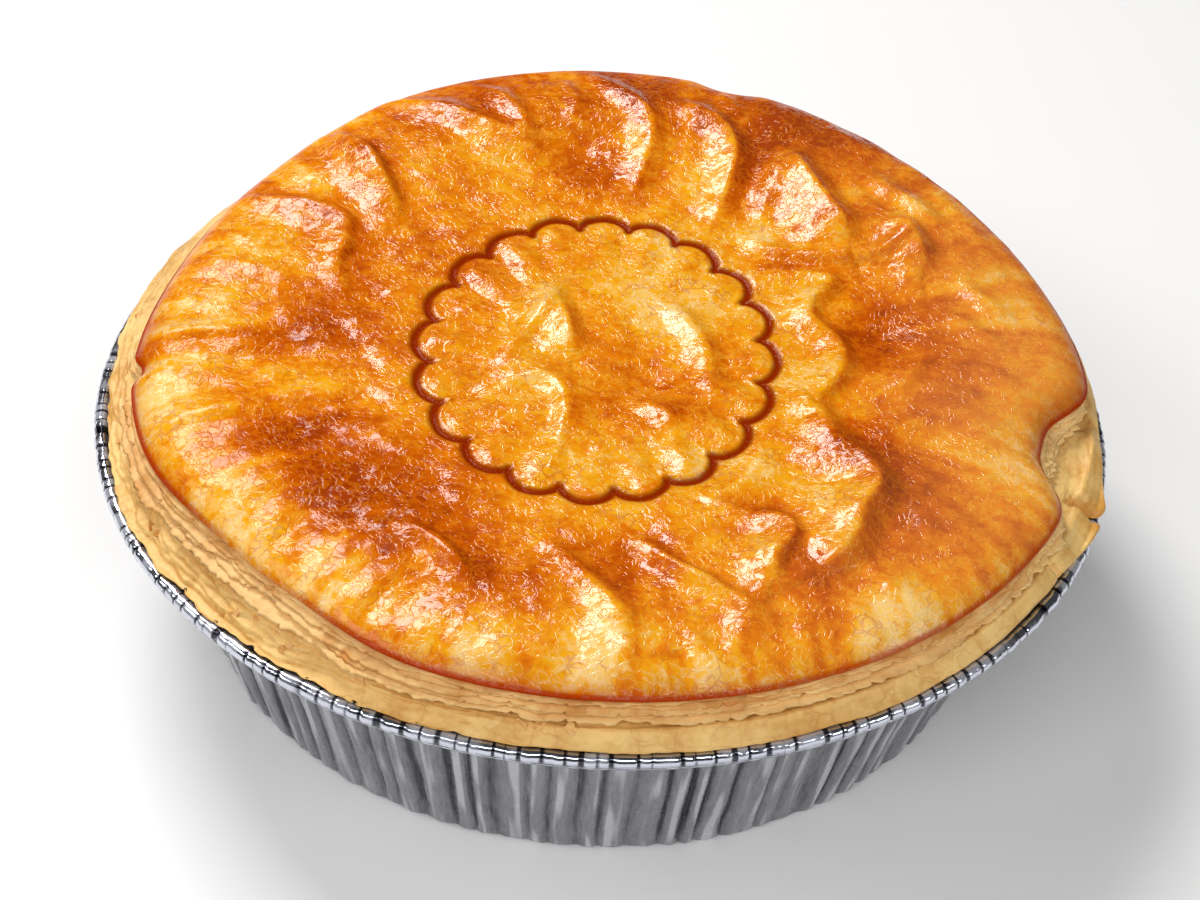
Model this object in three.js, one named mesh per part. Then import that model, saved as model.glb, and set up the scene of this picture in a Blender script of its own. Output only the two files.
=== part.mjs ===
// Chicken pie in a pleated foil dish: a foil dish with a rolled rim, a filled
// pastry base whose edge lies over that rim, and a puffed, wrinkled pastry lid
// pressed with a scalloped ring. Millimetres, +Z up, front of the pie at -Y.
import * as THREE from 'three';

// Foil dish
const RIM_RADIUS = 76;           // outside of the rolled rim
const RIM_OVAL = 0.01;           // the rim is this share wider across than deep
const RIM_HEIGHT = 33.6;         // middle of the rolled rim
const BEAD_RADIUS = 1.05;        // half the thickness of the rolled rim
const BEAD_STEPS = 5;            // points round the outside of the rolled rim
const BEAD_FROM = -75;           // degrees round the rolled rim, from its underside
const BEAD_TO = 165;             // to its inside
const FOOT_RADIUS = 61.2;        // outside of the foot
const FOOT_CURVE = 1.4;          // rounding between the foot and the wall
const WALL_TOP_RADIUS = 68.8;    // outside of the wall below the ledge
const WALL_TOP_HEIGHT = 32.2;    // a narrow ledge runs from here out to the rim
const PLEAT_COUNT = 104;
const PLEAT_DEPTH = 0.75;        // how far a pleat stands out of the wall
const PLEAT_UNEVEN = 0.25;       // share by which the pleats differ
const PLEAT_RIPPLE = [11, 19, 31];   // seed, slowest and fastest wave of that
const FOIL_LOOK = [0xb9bcc2, 0.3, 1];   // colour, roughness, share of metal
const FOIL_SKIN = 0.7;           // thickness of the dish between the pleats
const POINTS_PER_PLEAT = 2;

// Up the wall: height, and the share of a pleat that stands out there
const WALL_STAGES = [
  [FOOT_CURVE, 0.6],
  [4.2, 1],
  [24, 1],
  [30.8, 0.1],
  [WALL_TOP_HEIGHT, 0],
];

// Pastry base
const FIT_GAP = 0.3;             // gap between neighbouring pieces
const WALL_GAP = 0.36;           // gap between the filling's side and the dish
const FOOT_GAP = 0.45;           // gap between the filling's lower corner and the dish
const BASE_STEPS = 120;          // points round the base
const FLANGE_RADIUS = 75.0;      // outside of the base's edge
const FLANGE_DROP = 2.1;         // fall of the edge's top from the lid outwards
const FLANGE_WAVE = 0.25;        // unevenness of the edge
const FLANGE_RIPPLE = [23, 3, 17];
const FLANGE_UNDER = 0.9;        // how far the edge's underside lies inside
const FLANGE_FULLEST = 0.4;      // share of the edge's height where it reaches furthest
const FLANGE_TOP = 0.7;          // how far the edge's top lies inside
const FLANGE_SLOPE = 2.2;        // how far in the slope above the edge begins to ease
const FLANGE_SLOPE_FALL = 0.35;  // share of the fall at that place
const FLANGE_TORN = 0.8;         // the edge is torn away this far at the left front
const FLANGE_TORN_AT = 222;
const FLANGE_TORN_SPREAD = 34;
const SEAT_RADIUS = 70.5;        // the lid lies on the base inside this radius
const BASE_LOOK = [0xe3bf83, 0.8, 0];

// The edge is split at the right, and its ends stand out over the rim
const SPLIT_AT = 342;
const SPLIT_DEPTH = 2.8;
const SPLIT_REACH = 4;           // degrees either side whose points close up on the split
const SPLIT_CLOSE = 0.23;
const TIP_REACH = 1.1;
const TIP_SPREAD = 6;

// Pastry lid
const LID_RADIUS = 71.8;
const LID_SHIFT = [1.0, 0.4];    // middle of the lid from the middle of the dish
const SEAT_HEIGHT = 39.6;        // underside of the lid at the middle
const SEAT_SLOPE = 0.018;        // rise of the underside towards the back
const EDGE_HEIGHT = 43.4;        // top of the lid's edge at the sides
const EDGE_FRONT_DROP = 1.3;
const EDGE_REAR_RISE = 4.9;
const REAR_AT = 98;              // direction of the highest edge, in degrees
const REAR_SPREAD = 46;          // degrees either side of it that rise
const CROWN_HEIGHT = 46.4;       // top of the lid at the middle
const CROWN_SLOPE = 0.035;
const PUFF_AT = 0.8;             // share of the radius where the ring of puff peaks
const PUFF_SPREAD = 0.2;
const PUFF_FRONT = 0.8;
const PUFF_REAR = 3.2;
const SHOULDER_POWER = 15;       // how sharply the top turns down to the edge
const DENT_POWER = 3;            // how sharply a dent in the outline begins
const FLAKE_LAYERS = 3;          // leaves that show at the lid's side
const FLAKE_LIP = 0.55;          // how far a leaf stands out
const FLAKE_RAGGED = 0.5;        // share by which that differs
const FLAKE_RIPPLE = [37, 9, 41];
const FLAKE_CREST = 0.35;        // share of a leaf's thickness where it stands out
const FLAKE_CREVICE = 0.9;       // share of it where the crevice below lies
const FLAKE_LEAN = 1.6;          // the lower leaves stand out further at the left
const FLAKE_LEAN_AT = 196;
const FLAKE_LEAN_SPREAD = 46;
const LID_LOOK = [0xd9862b, 0.35, 0];

// Scalloped ring pressed into the lid
const RING_MIDDLE = [-1.5, -3.7];
const RING_HALF_WIDTH = 27.1;
const RING_HALF_DEPTH = 32.9;    // the lid shrank from side to side in baking
const SCALLOP_COUNT = 20;
const SCALLOP_DEPTH = 2.5;
const SCALLOP_START = 0.5;       // share of a scallop the ring starts at, on its right
const POINTS_PER_SCALLOP = 6;
const GROOVE_WIDTH = 2.2;
const GROOVE_DEPTH = 1.0;

// Rings of the lid's top: shares of the way out to the pressed ring, and from it to the edge
const DISC_SHARES = [0.2, 0.42, 0.64, 0.85];
const CRUST_SHARES = [0.1, 0.22, 0.35, 0.48, 0.61, 0.74, 0.84, 0.92, 0.97];

// Dents in the lid's outline: direction in degrees, spread in degrees, depth
const OUTLINE_DENTS = [
  [346, 8, 6.6],      // torn notch at the right
  [190, 1.8, 1.4],    // pinched fold at the left
  [76, 4, 1.6],       // small dip at the back
  [158, 27, 2.9],     // flatter left back
  [228, 16, 2.6],     // flatter left front
  [30, 26, 1.5],      // flatter right back
];

// Folds of the lid's top: start x, y, end x, y, bow to the left of the run,
// reach of the gentle left slope, reach of the steep right slope, height
const FOLDS = [
  [4, 51, -7, 66, 0.5, 5, 3, 1.7],        // back
  [3, 34, 2, 57, 0, 4, 4, 1.2],
  [13, 32, 11, 59, -4.5, 6, 3, 1.9],
  [22, 35, 27.5, 49, 0.5, 2.2, 2.6, 1.4],
  [34, 31, 28, 47, -0.5, 5, 5, 1.6],
  [20, 28, 47, 29, -6, 5, 2.6, 2.0],      // right
  [30, -14, 34, 5, -1.5, 6, 3.2, 1.8],
  [31, 4, 33.5, 17, 1.2, 5, 2.6, 1.4],
  [34, 17, 23, 17, 0, 3, 2.2, 1.2],
  [42, 39, 53, 29, 0, 5, 5, 1.2],
  [32, -48, 39.5, -29, -1, 7, 2.8, 2.1],  // right front
  [39.5, -29, 30, -13, 0.5, 7, 3, 1.8],
  [24, -48, 27, -39, -0.5, 6, 2.6, 1.5],
  [22, -57, 6, -43, 0.5, 4.5, 3, 1.5],
  [36, -48, 45, -58, 0, 5, 4.5, 1.1],
  [2, -63, -4, -46, 0.5, 4, 3, 1.5],      // front
  [-18, -54, -23, -44, 0.5, 3, 2.6, 1.4],
  [-21, -64, -30, -55, 0, 5, 3, 1.1],
  [-33, -57, -40, -49, 0.5, 4, 3, 1.2],
  [-47, -46, -56, -35, 0, 4, 4, 1.0],     // left front
  [-52, -22.5, -64, -27, 0, 3.5, 3, 1.2],
  [-36, -13.5, -54, -15, 0, 4.5, 4, 1.1],
  [-52, 1, -66, 4, 0, 5, 3.5, 1.0],       // left
  [-41, 7, -43, 22, -0.8, 6, 2.8, 1.6],
  [-43, 22, -59, 27, 0, 6, 2.8, 1.6],
  [-35.5, 26, -43.5, 43, 0, 6, 2.8, 1.8],
  [-18, 44.5, -41, 55, 0, 4.5, 2.8, 1.6], // left back
  [-14.5, 48, -25, 60, 0, 3.2, 2.8, 1.5],
  [-7, -27, -6, -15, 0, 3.5, 3, 1.0],     // inside the ring
  [12, -2, 14, -16, 0, 6, 2.2, 0.9],
];

const FOLD_ENDS = 0.6;           // share of a fold's height at its two ends
const FOLD_TAIL = 0.7;           // how far it runs out past them, as a share of its gentle reach

// Hollows of the lid's top: middle x, y, reach, depth
const HOLLOWS = [
  [40, 4, 6, 1.2],
  [43, -20, 8, 0.9],
  [-45, -26, 7, 1.2],
  [-35, -38, 6, 0.9],
  [6, -49, 5, 0.9],
  [-7, 46, 5, 0.9],
  [21, 52, 5, 1.0],
  [5, -11, 6, 0.7],
];

const TAU = Math.PI * 2;
const DEGREE = Math.PI / 180;

const mix = (a, b, share) => a + (b - a) * share;
const clamp01 = (value) => Math.min(1, Math.max(0, value));
const bell = (distance, reach) => Math.exp(-((distance / reach) ** 2));

// Signed turn between two directions, in degrees
function turn(angle, degrees) {
  const gap = (angle / DEGREE - degrees) % 360;
  return ((gap + 540) % 360) - 180;
}

// Repeatable random numbers
function seeded(seed) {
  let state = seed;
  return () => {
    state = (Math.imul(state, 1664525) + 1013904223) >>> 0;
    return state / 4294967296;
  };
}

// Uneven wave round the pie, between about -1 and 1
function unevenWave(seed, slowest, fastest) {
  const draw = seeded(seed);
  const waves = [];
  for (let count = slowest; count <= fastest; count += 1) {
    waves.push([count, draw() * TAU, 0.5 + draw()]);
  }
  const scale = 1 / Math.sqrt(waves.length);
  return (angle) => waves.reduce(
    (sum, [count, phase, size]) => sum + size * Math.sin(count * angle + phase), 0) * scale;
}

// Closed solid from a stack of rings, closed at both ends by a point on its axis
function ringSolid(rings, firstPoint, lastPoint) {
  const steps = rings[0].length;
  const positions = [...firstPoint];
  for (const ring of rings) for (const point of ring) positions.push(...point);
  positions.push(...lastPoint);
  const last = positions.length / 3 - 1;
  const at = (row, step) => 1 + row * steps + (step % steps);
  const faces = [];
  for (let step = 0; step < steps; step += 1) {
    faces.push(0, at(0, step), at(0, step + 1));
    for (let row = 0; row + 1 < rings.length; row += 1) {
      faces.push(at(row, step), at(row + 1, step), at(row + 1, step + 1));
      faces.push(at(row, step), at(row + 1, step + 1), at(row, step + 1));
    }
    faces.push(last, at(rings.length - 1, step + 1), at(rings.length - 1, step));
  }
  const geometry = new THREE.BufferGeometry();
  geometry.setAttribute('position', new THREE.Float32BufferAttribute(positions, 3));
  geometry.setIndex(faces);
  geometry.computeVertexNormals();
  return geometry;
}

function ringOf(steps, pointAt) {
  return Array.from({ length: steps }, (_, step) => pointAt((step / steps) * TAU, step));
}

const ovalShare = (angle) => 1 + RIM_OVAL * Math.cos(2 * angle);

function roundRing(steps, radiusAt, heightAt) {
  return ringOf(steps, (angle, step) => {
    const radius = radiusAt(angle, step) * ovalShare(angle);
    return [radius * Math.cos(angle), radius * Math.sin(angle), heightAt(angle)];
  });
}

// The wall between the foot and the rim is straight
const wallRadius = (height) => mix(
  FOOT_RADIUS, WALL_TOP_RADIUS, (height - FOOT_CURVE) / (WALL_TOP_HEIGHT - FOOT_CURVE));

function foilDish() {
  const steps = PLEAT_COUNT * POINTS_PER_PLEAT;
  const uneven = unevenWave(...PLEAT_RIPPLE);
  const pleat = (angle, step) => (step % POINTS_PER_PLEAT === 0
    ? PLEAT_DEPTH * (1 + PLEAT_UNEVEN * uneven(angle)) : 0);
  const flat = (height) => () => height;
  const rings = [roundRing(steps, () => FOOT_RADIUS - FOOT_CURVE, flat(0))];
  for (const [height, share] of WALL_STAGES) {
    rings.push(roundRing(
      steps, (angle, step) => wallRadius(height) + share * pleat(angle, step), flat(height)));
  }
  const beadMiddle = RIM_RADIUS - BEAD_RADIUS;
  for (let point = 0; point < BEAD_STEPS; point += 1) {
    const lift = mix(BEAD_FROM, BEAD_TO, point / (BEAD_STEPS - 1)) * DEGREE;
    rings.push(roundRing(
      steps,
      () => beadMiddle + BEAD_RADIUS * Math.cos(lift),
      flat(RIM_HEIGHT + BEAD_RADIUS * Math.sin(lift))));
  }
  rings.push(roundRing(steps, () => WALL_TOP_RADIUS - FOIL_SKIN, flat(WALL_TOP_HEIGHT + FOIL_SKIN)));
  rings.push(roundRing(steps, () => FOOT_RADIUS - FOOT_CURVE - FOIL_SKIN, flat(FOIL_SKIN)));
  return ringSolid(rings, [0, 0, 0], [0, 0, FOIL_SKIN]);
}

// Underside of the lid, and of the seat below it
const seatHeight = (y) => SEAT_HEIGHT + SEAT_SLOPE * y;

// Outside of the base's edge: wavy, torn back at the left front and split at the right
function flangeRadius(angle, wave) {
  const fromSplit = turn(angle, SPLIT_AT);
  const torn = FLANGE_TORN * bell(turn(angle, FLANGE_TORN_AT), FLANGE_TORN_SPREAD);
  const tip = TIP_REACH * bell(fromSplit, TIP_SPREAD);
  const split = SPLIT_DEPTH * bell(fromSplit, SPLIT_REACH * SPLIT_CLOSE / 2);
  return FLANGE_RADIUS + FLANGE_WAVE * wave(angle) - torn + tip - split;
}

function pastryBase() {
  const wave = unevenWave(...FLANGE_RIPPLE);
  const seat = (radius, drop) => (angle) => seatHeight(radius * Math.sin(angle)) - FIT_GAP - drop;
  const rimTop = RIM_HEIGHT + BEAD_RADIUS + FIT_GAP;
  const edgeTop = seat(FLANGE_RADIUS, FLANGE_DROP);
  const flat = (height) => () => height;
  const flange = (back) => (angle) => flangeRadius(angle, wave) - back;
  const innerFoot = FOOT_RADIUS - FOOT_CURVE - FOIL_SKIN - FOOT_GAP;
  const innerWall = WALL_TOP_RADIUS - FOIL_SKIN - WALL_GAP;
  // The points next to the split close up on it
  const closed = (angle) => {
    const fromSplit = turn(angle, SPLIT_AT);
    const near = Math.abs(fromSplit) < SPLIT_REACH;
    return near ? (SPLIT_AT + fromSplit * SPLIT_CLOSE) * DEGREE : angle;
  };
  const baseRing = (radiusAt, heightAt) => ringOf(BASE_STEPS, (even) => {
    const angle = closed(even);
    const radius = radiusAt(angle) * ovalShare(angle);
    return [radius * Math.cos(angle), radius * Math.sin(angle), heightAt(angle)];
  });
  const rings = [
    baseRing(() => innerFoot, flat(FOIL_SKIN + FIT_GAP)),
    baseRing(() => innerWall, flat(WALL_TOP_HEIGHT + FOIL_SKIN + FIT_GAP)),
    baseRing(flange(FLANGE_UNDER), flat(rimTop)),
    baseRing(flange(0), (angle) => mix(rimTop, edgeTop(angle), FLANGE_FULLEST)),
    baseRing(flange(FLANGE_TOP), edgeTop),
    baseRing(flange(FLANGE_SLOPE), seat(FLANGE_RADIUS, FLANGE_DROP * FLANGE_SLOPE_FALL)),
    baseRing(() => SEAT_RADIUS, seat(SEAT_RADIUS, 0)),
  ];
  return ringSolid(rings, [0, 0, FOIL_SKIN + FIT_GAP], [0, 0, SEAT_HEIGHT - FIT_GAP]);
}

// Lid outline in a direction from the lid's middle
function lidRadius(angle) {
  return OUTLINE_DENTS.reduce(
    (radius, [degrees, spread, depth]) => radius
      - depth * Math.exp(-(Math.abs(turn(angle, degrees) / spread) ** DENT_POWER)), LID_RADIUS);
}

const rearShare = (angle) => bell(turn(angle, REAR_AT), REAR_SPREAD);

const edgeHeight = (angle) => EDGE_HEIGHT + EDGE_REAR_RISE * rearShare(angle)
  - EDGE_FRONT_DROP * Math.max(0, -Math.sin(angle));

// Height a fold adds at a place on the lid
function foldRise(x, y, [x0, y0, x1, y1, bow, gentle, steep, height]) {
  const length = Math.hypot(x1 - x0, y1 - y0);
  const ux = (x1 - x0) / length;
  const uy = (y1 - y0) / length;
  const along = ((x - x0) * ux + (y - y0) * uy) / length;
  const inside = clamp01(along);
  const across = (y - y0) * ux - (x - x0) * uy - 4 * bow * inside * (1 - inside);
  const past = (along - inside) * length;
  const crest = mix(FOLD_ENDS, 1, Math.sin(Math.PI * inside));
  const slope = bell(across, across > 0 ? gentle : steep);
  return height * crest * slope * bell(past, gentle * FOLD_TAIL);
}

const foldsAt = (x, y) => FOLDS.reduce((sum, fold) => sum + foldRise(x, y, fold), 0)
  - HOLLOWS.reduce((sum, [hx, hy, reach, depth]) => sum
    + depth * bell(Math.hypot(x - hx, y - hy), reach), 0);

// Top of the lid
function lidTop(x, y) {
  const dx = x - LID_SHIFT[0];
  const dy = y - LID_SHIFT[1];
  const angle = Math.atan2(dy, dx);
  const share = Math.min(1, Math.hypot(dx, dy) / lidRadius(angle));
  const puff = mix(PUFF_FRONT, PUFF_REAR, rearShare(angle)) * bell(share - PUFF_AT, PUFF_SPREAD);
  const crown = CROWN_HEIGHT + CROWN_SLOPE * y + puff + foldsAt(x, y);
  return mix(crown, edgeHeight(angle), share ** SHOULDER_POWER);
}

// Outline of the pressed ring: rounded scallops that meet in points
function ringOutline(angle, offset) {
  const place = (angle / TAU) * SCALLOP_COUNT + SCALLOP_START;
  const lobe = Math.sin(Math.PI * (place - Math.floor(place)));
  const scallop = SCALLOP_DEPTH * (Math.sqrt(lobe) - 1);
  return [
    RING_MIDDLE[0] + (RING_HALF_WIDTH + scallop + offset) * Math.cos(angle),
    RING_MIDDLE[1] + (RING_HALF_DEPTH + scallop + offset) * Math.sin(angle),
  ];
}

function lidEdge(angle, outwards) {
  const radius = lidRadius(angle) + outwards;
  return [LID_SHIFT[0] + radius * Math.cos(angle), LID_SHIFT[1] + radius * Math.sin(angle)];
}

function pastryLid() {
  const steps = SCALLOP_COUNT * POINTS_PER_SCALLOP;
  const onTop = ([x, y], sink) => [x, y, lidTop(x, y) - sink];
  const between = (a, b, share) => [mix(a[0], b[0], share), mix(a[1], b[1], share)];
  const rings = [];
  // Inside the ring, out to the groove
  for (const share of DISC_SHARES) {
    rings.push(ringOf(steps, (angle) => onTop(
      between(RING_MIDDLE, ringOutline(angle, -GROOVE_WIDTH), share), 0)));
  }
  rings.push(ringOf(steps, (angle) => onTop(ringOutline(angle, -GROOVE_WIDTH / 2), 0)));
  rings.push(ringOf(steps, (angle) => onTop(ringOutline(angle, 0), GROOVE_DEPTH)));
  rings.push(ringOf(steps, (angle) => onTop(ringOutline(angle, GROOVE_WIDTH / 2), 0)));
  // Out to the edge
  for (const share of CRUST_SHARES) {
    rings.push(ringOf(steps, (angle) => onTop(
      between(ringOutline(angle, GROOVE_WIDTH), lidEdge(angle, 0), share), 0)));
  }
  rings.push(ringOf(steps, (angle) => [...lidEdge(angle, 0), edgeHeight(angle)]));
  // Leaves at the side
  const ragged = unevenWave(...FLAKE_RIPPLE);
  for (let layer = 0; layer < FLAKE_LAYERS; layer += 1) {
    for (const [depth, lip] of [[FLAKE_CREST, 1], [FLAKE_CREVICE, 0]]) {
      const down = (layer + depth) / FLAKE_LAYERS;
      rings.push(ringOf(steps, (angle) => {
        const lean = FLAKE_LEAN * bell(turn(angle, FLAKE_LEAN_AT), FLAKE_LEAN_SPREAD) * down;
        const stand = FLAKE_LIP * lip * (1 + FLAKE_RAGGED * ragged(angle + layer)) + lean;
        const point = lidEdge(angle, stand);
        return [...point, mix(edgeHeight(angle), seatHeight(point[1]), down)];
      }));
    }
  }
  // Underside
  rings.push(ringOf(steps, (angle) => {
    const point = lidEdge(angle, -FLAKE_LIP);
    return [...point, seatHeight(point[1])];
  }));
  const top = [...RING_MIDDLE, lidTop(...RING_MIDDLE)];
  return ringSolid(rings, top, [...RING_MIDDLE, seatHeight(RING_MIDDLE[1])]);
}

function piece(name, geometry, [color, roughness, metalness]) {
  const material = new THREE.MeshStandardMaterial({ color, roughness, metalness });
  const mesh = new THREE.Mesh(geometry, material);
  mesh.name = name;
  return mesh;
}

// Rings listed from the top downwards face the other way
function facingOut(geometry) {
  const index = geometry.getIndex();
  for (let face = 0; face < index.count; face += 3) {
    const second = index.getX(face + 1);
    index.setX(face + 1, index.getX(face + 2));
    index.setX(face + 2, second);
  }
  geometry.computeVertexNormals();
  return geometry;
}

const pie = new THREE.Group();
pie.name = 'chicken_pie';
pie.add(
  piece('foil_dish', facingOut(foilDish()), FOIL_LOOK),
  piece('pastry_base', facingOut(pastryBase()), BASE_LOOK),
  piece('pastry_lid', pastryLid(), LID_LOOK),
);

export default pie;
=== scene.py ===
import math

import bpy
import numpy as np
from mathutils import Matrix


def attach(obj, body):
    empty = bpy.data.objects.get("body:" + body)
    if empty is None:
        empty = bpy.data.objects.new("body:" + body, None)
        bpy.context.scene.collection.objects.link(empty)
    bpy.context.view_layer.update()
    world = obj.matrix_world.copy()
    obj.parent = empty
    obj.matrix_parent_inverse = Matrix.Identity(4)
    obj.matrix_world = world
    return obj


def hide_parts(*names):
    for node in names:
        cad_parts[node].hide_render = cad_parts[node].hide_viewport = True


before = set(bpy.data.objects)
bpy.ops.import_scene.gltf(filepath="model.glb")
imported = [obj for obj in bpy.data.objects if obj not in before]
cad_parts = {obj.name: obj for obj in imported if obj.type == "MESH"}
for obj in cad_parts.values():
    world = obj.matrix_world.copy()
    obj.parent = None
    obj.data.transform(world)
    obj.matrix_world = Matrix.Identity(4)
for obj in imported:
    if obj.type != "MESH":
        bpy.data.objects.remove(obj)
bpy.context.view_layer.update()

# Chicken pie in a pleated foil dish: the foil, the pale pastry base, the glazed and wrinkled
# lid with its pressed ring, the leaves of pastry at the lid's side, and a few loose crumbs.
# The front of the pie is at -Y. The tables below are in millimetres and degrees.
bl_info = {
    "name": "Chicken pie",
    "version": (1, 0, 0),
    "blender": (4, 5, 0),
    "location": "3D View > Sidebar > Pie",
    "description": "Builds a baked pie in a pleated foil dish",
    "category": "Add Mesh",
}

MM = 0.001
TAU = 2.0 * math.pi

# How finely the meshes are divided
POINTS_A_SCALLOP = 32
ROWS_IN_RING = 46
ROWS_IN_GROOVE = 13
ROWS_ROUND_RING = 90
POINTS_A_LEAF = 2300
POINTS_ROUND_BASE = 1300
ROWS_IN_BASE_EDGE = 62
POINTS_A_PLEAT = 15
ROWS_IN_WALL = 22
ROWS_IN_BEAD = 15

# Radii of the circles that uneven fields round the pie are read along
RING_COURSE = 30 * MM
STREAK_COURSE = 62 * MM
WRINKLE_COURSE = 66 * MM
EDGE_COURSE = 70 * MM
LEAF_COURSE = 72 * MM
BASE_COURSE = 73 * MM
FLANGE_COURSE = 75 * MM

# How much finer the layers of the base lie across than along
COURSE_ACROSS = 6.0

# Radii of the base: its hidden seat, where its edge begins, and its underside inside the rim
BASE_HIDDEN_RADIUS = 60 * MM
BASE_EDGE_RADIUS = 69 * MM
BASE_UNDER_RADIUS = 73.3 * MM

# Where the splits in the base's edge begin and where they are deepest, and their first row
SPLIT_RADII = (70 * MM, 73.5 * MM)
SPLIT_FIRST_ROW = 14

# Rows of the base that crumbs lie on
CRUMB_ROWS = slice(21, 46)

# The photograph's width and focal length in pixels, the camera's sensor in millimetres, and the
# view fitted to the photograph in degrees and metres
PHOTO_WIDTH = 1200.0
PHOTO_FOCAL = 2437.8
SENSOR_WIDTH = 36.0
VIEW_ELEVATION = 40.0
VIEW_ROLL = 3.6
VIEW_DISTANCE = 0.380
VIEW_TARGET = 0.02395

# Half the floor's side in metres
FLOOR_HALF = 3.0

# Dents in the lid's outline: direction, spread, depth
OUTLINE_DENTS = (
    (346, 8, 6.6),
    (190, 1.8, 1.4),
    (76, 4, 1.6),
    (158, 27, 2.9),
    (228, 16, 2.6),
    (30, 26, 1.5),
)

# Creases of the lid: points of the crest, reach of the slope to its left, reach of the slope
# to its right, height
LID_CREASES = (
    (((31, -48), (33, -46.2), (35.5, -42.3), (36.7, -37), (38.6, -33.5), (39, -30), (37.3, -26),
      (33.8, -21.4), (31.6, -16.5)), 8.6, 3.1, 3.5),
    (((32.5, -19), (31.2, -13), (32.1, -10.2), (34.4, -6.5), (35.2, -1), (34, 2.5), (30.6, 6.3),
      (30.7, 10.5), (32.7, 13.3), (33.6, 15.8), (30.5, 17), (24, 17.2)), 4.2, 2.1, 1.6),
    (((21, 26), (24.5, 23), (30, 21.7), (36, 21.5), (41, 22.7), (45, 25.5),
      (46.8, 29)), 1.8, 1.3, 0.9),
    (((46.5, 29), (42, 29.8), (37, 29), (33, 27)), 3.9, 3.6, 0.9),
    (((48, 20.5), (47.8, 24), (46.6, 28), (44.5, 31.5)), 10.0, 2.6, 2.4),
    (((36.4, 25), (34.8, 30.5), (32.4, 35.5), (30, 41), (28.2, 45.5)), 9.4, 3.5, 3.5),
    (((22.6, 29.5), (23.8, 35), (25.4, 40.5), (27, 47)), 2.5, 2.0, 0.6),
    (((2.8, 37), (4.3, 43), (5.2, 49), (4.7, 54), (2, 58), (-1.5, 62), (-5.5, 66)), 3.4, 2.5, 1.3),
    (((16, 30.5), (17.3, 36), (18.4, 41), (18.8, 47), (17.6, 52), (14.5, 55.4),
      (10.5, 57.6)), 4.2, 2.8, 1.8),
    (((51.5, 30.5), (48.5, 35), (45.5, 38.5), (41.5, 42)), 2.7, 3.0, 1.2),
    (((24, -50.5), (24.6, -46.6), (26.8, -43), (26, -39.3), (22.5, -37.6)), 5.5, 1.6, 2.0),
    (((21.5, -56.5), (15.5, -51.8), (11, -48.8), (6.5, -44)), 2.1, 1.3, 1.3),
    (((18.6, -65), (20, -60.5), (21.2, -56), (22.8, -51.5)), 2.7, 3.1, 0.7),
    (((4, -60), (2.6, -56.3), (-0.5, -52.3), (-5, -46.8)), 3.2, 2.0, 1.1),
    (((-16.8, -53.5), (-19, -50), (-22, -46.6), (-25.5, -44.6)), 2.0, 1.3, 1.2),
    (((-48, -22.6), (-54, -23), (-59, -25), (-64, -28)), 1.8, 4.5, 0.9),
    (((-53, -20.3), (-46, -19.3), (-41, -18), (-35.5, -15.2)), 5.0, 2.3, 0.5),
    (((-31, -10.5), (-34, -6.5), (-38, -1)), 1.8, 2.2, 0.3),
    (((-40.3, 6.5), (-42.2, 12.5), (-41.5, 18), (-42, 23), (-44.8, 25.2), (-52, 27),
      (-60, 27.8)), 5.0, 1.3, 1.0),
    (((-34.6, 28), (-36.5, 31.5), (-38, 34.5), (-40, 38.5), (-43, 42), (-46.5, 45)), 5.4, 1.5, 2.3),
    (((-16, 46.8), (-21, 49), (-25, 50.7), (-28.5, 52.8), (-33, 54.6), (-41, 56)), 4.0, 2.5, 1.1),
    (((-14.8, 47), (-16, 51), (-18, 54.5), (-20.5, 58), (-24.5, 61)), 3.0, 2.0, 0.9),
    (((-8, 52), (-7.6, 57), (-10, 62)), 1.8, 1.8, 0.5),
    (((-5.4, -5), (-5.8, -1), (-6.8, 4), (-8.6, 8.5)), 4.6, 2.4, 1.7),
    (((-15, -7), (-12.5, -1), (-10, 5), (-7.8, 10.5)), 1.8, 1.5, 0.8),
    (((15.6, -11), (15.4, -6), (14.4, -1), (12, 4), (9, 8)), 2.8, 2.3, 1.1),
    (((-6.6, -27.5), (-5.4, -20.5), (-5.6, -15), (-7.6, -11.2), (-11, -10.4),
      (-15, -12.8)), 1.8, 3.9, 1.0),
    (((-18, -22), (-15, -18.8), (-12.3, -16.4)), 1.8, 1.8, 0.2),
    (((11, -20), (8.6, -17.2), (5.5, -14.6)), 2.3, 4.5, 1.0),
    (((52, -12), (44, -16.5), (38, -20)), 3.6, 3.5, 0.7),
)

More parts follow.
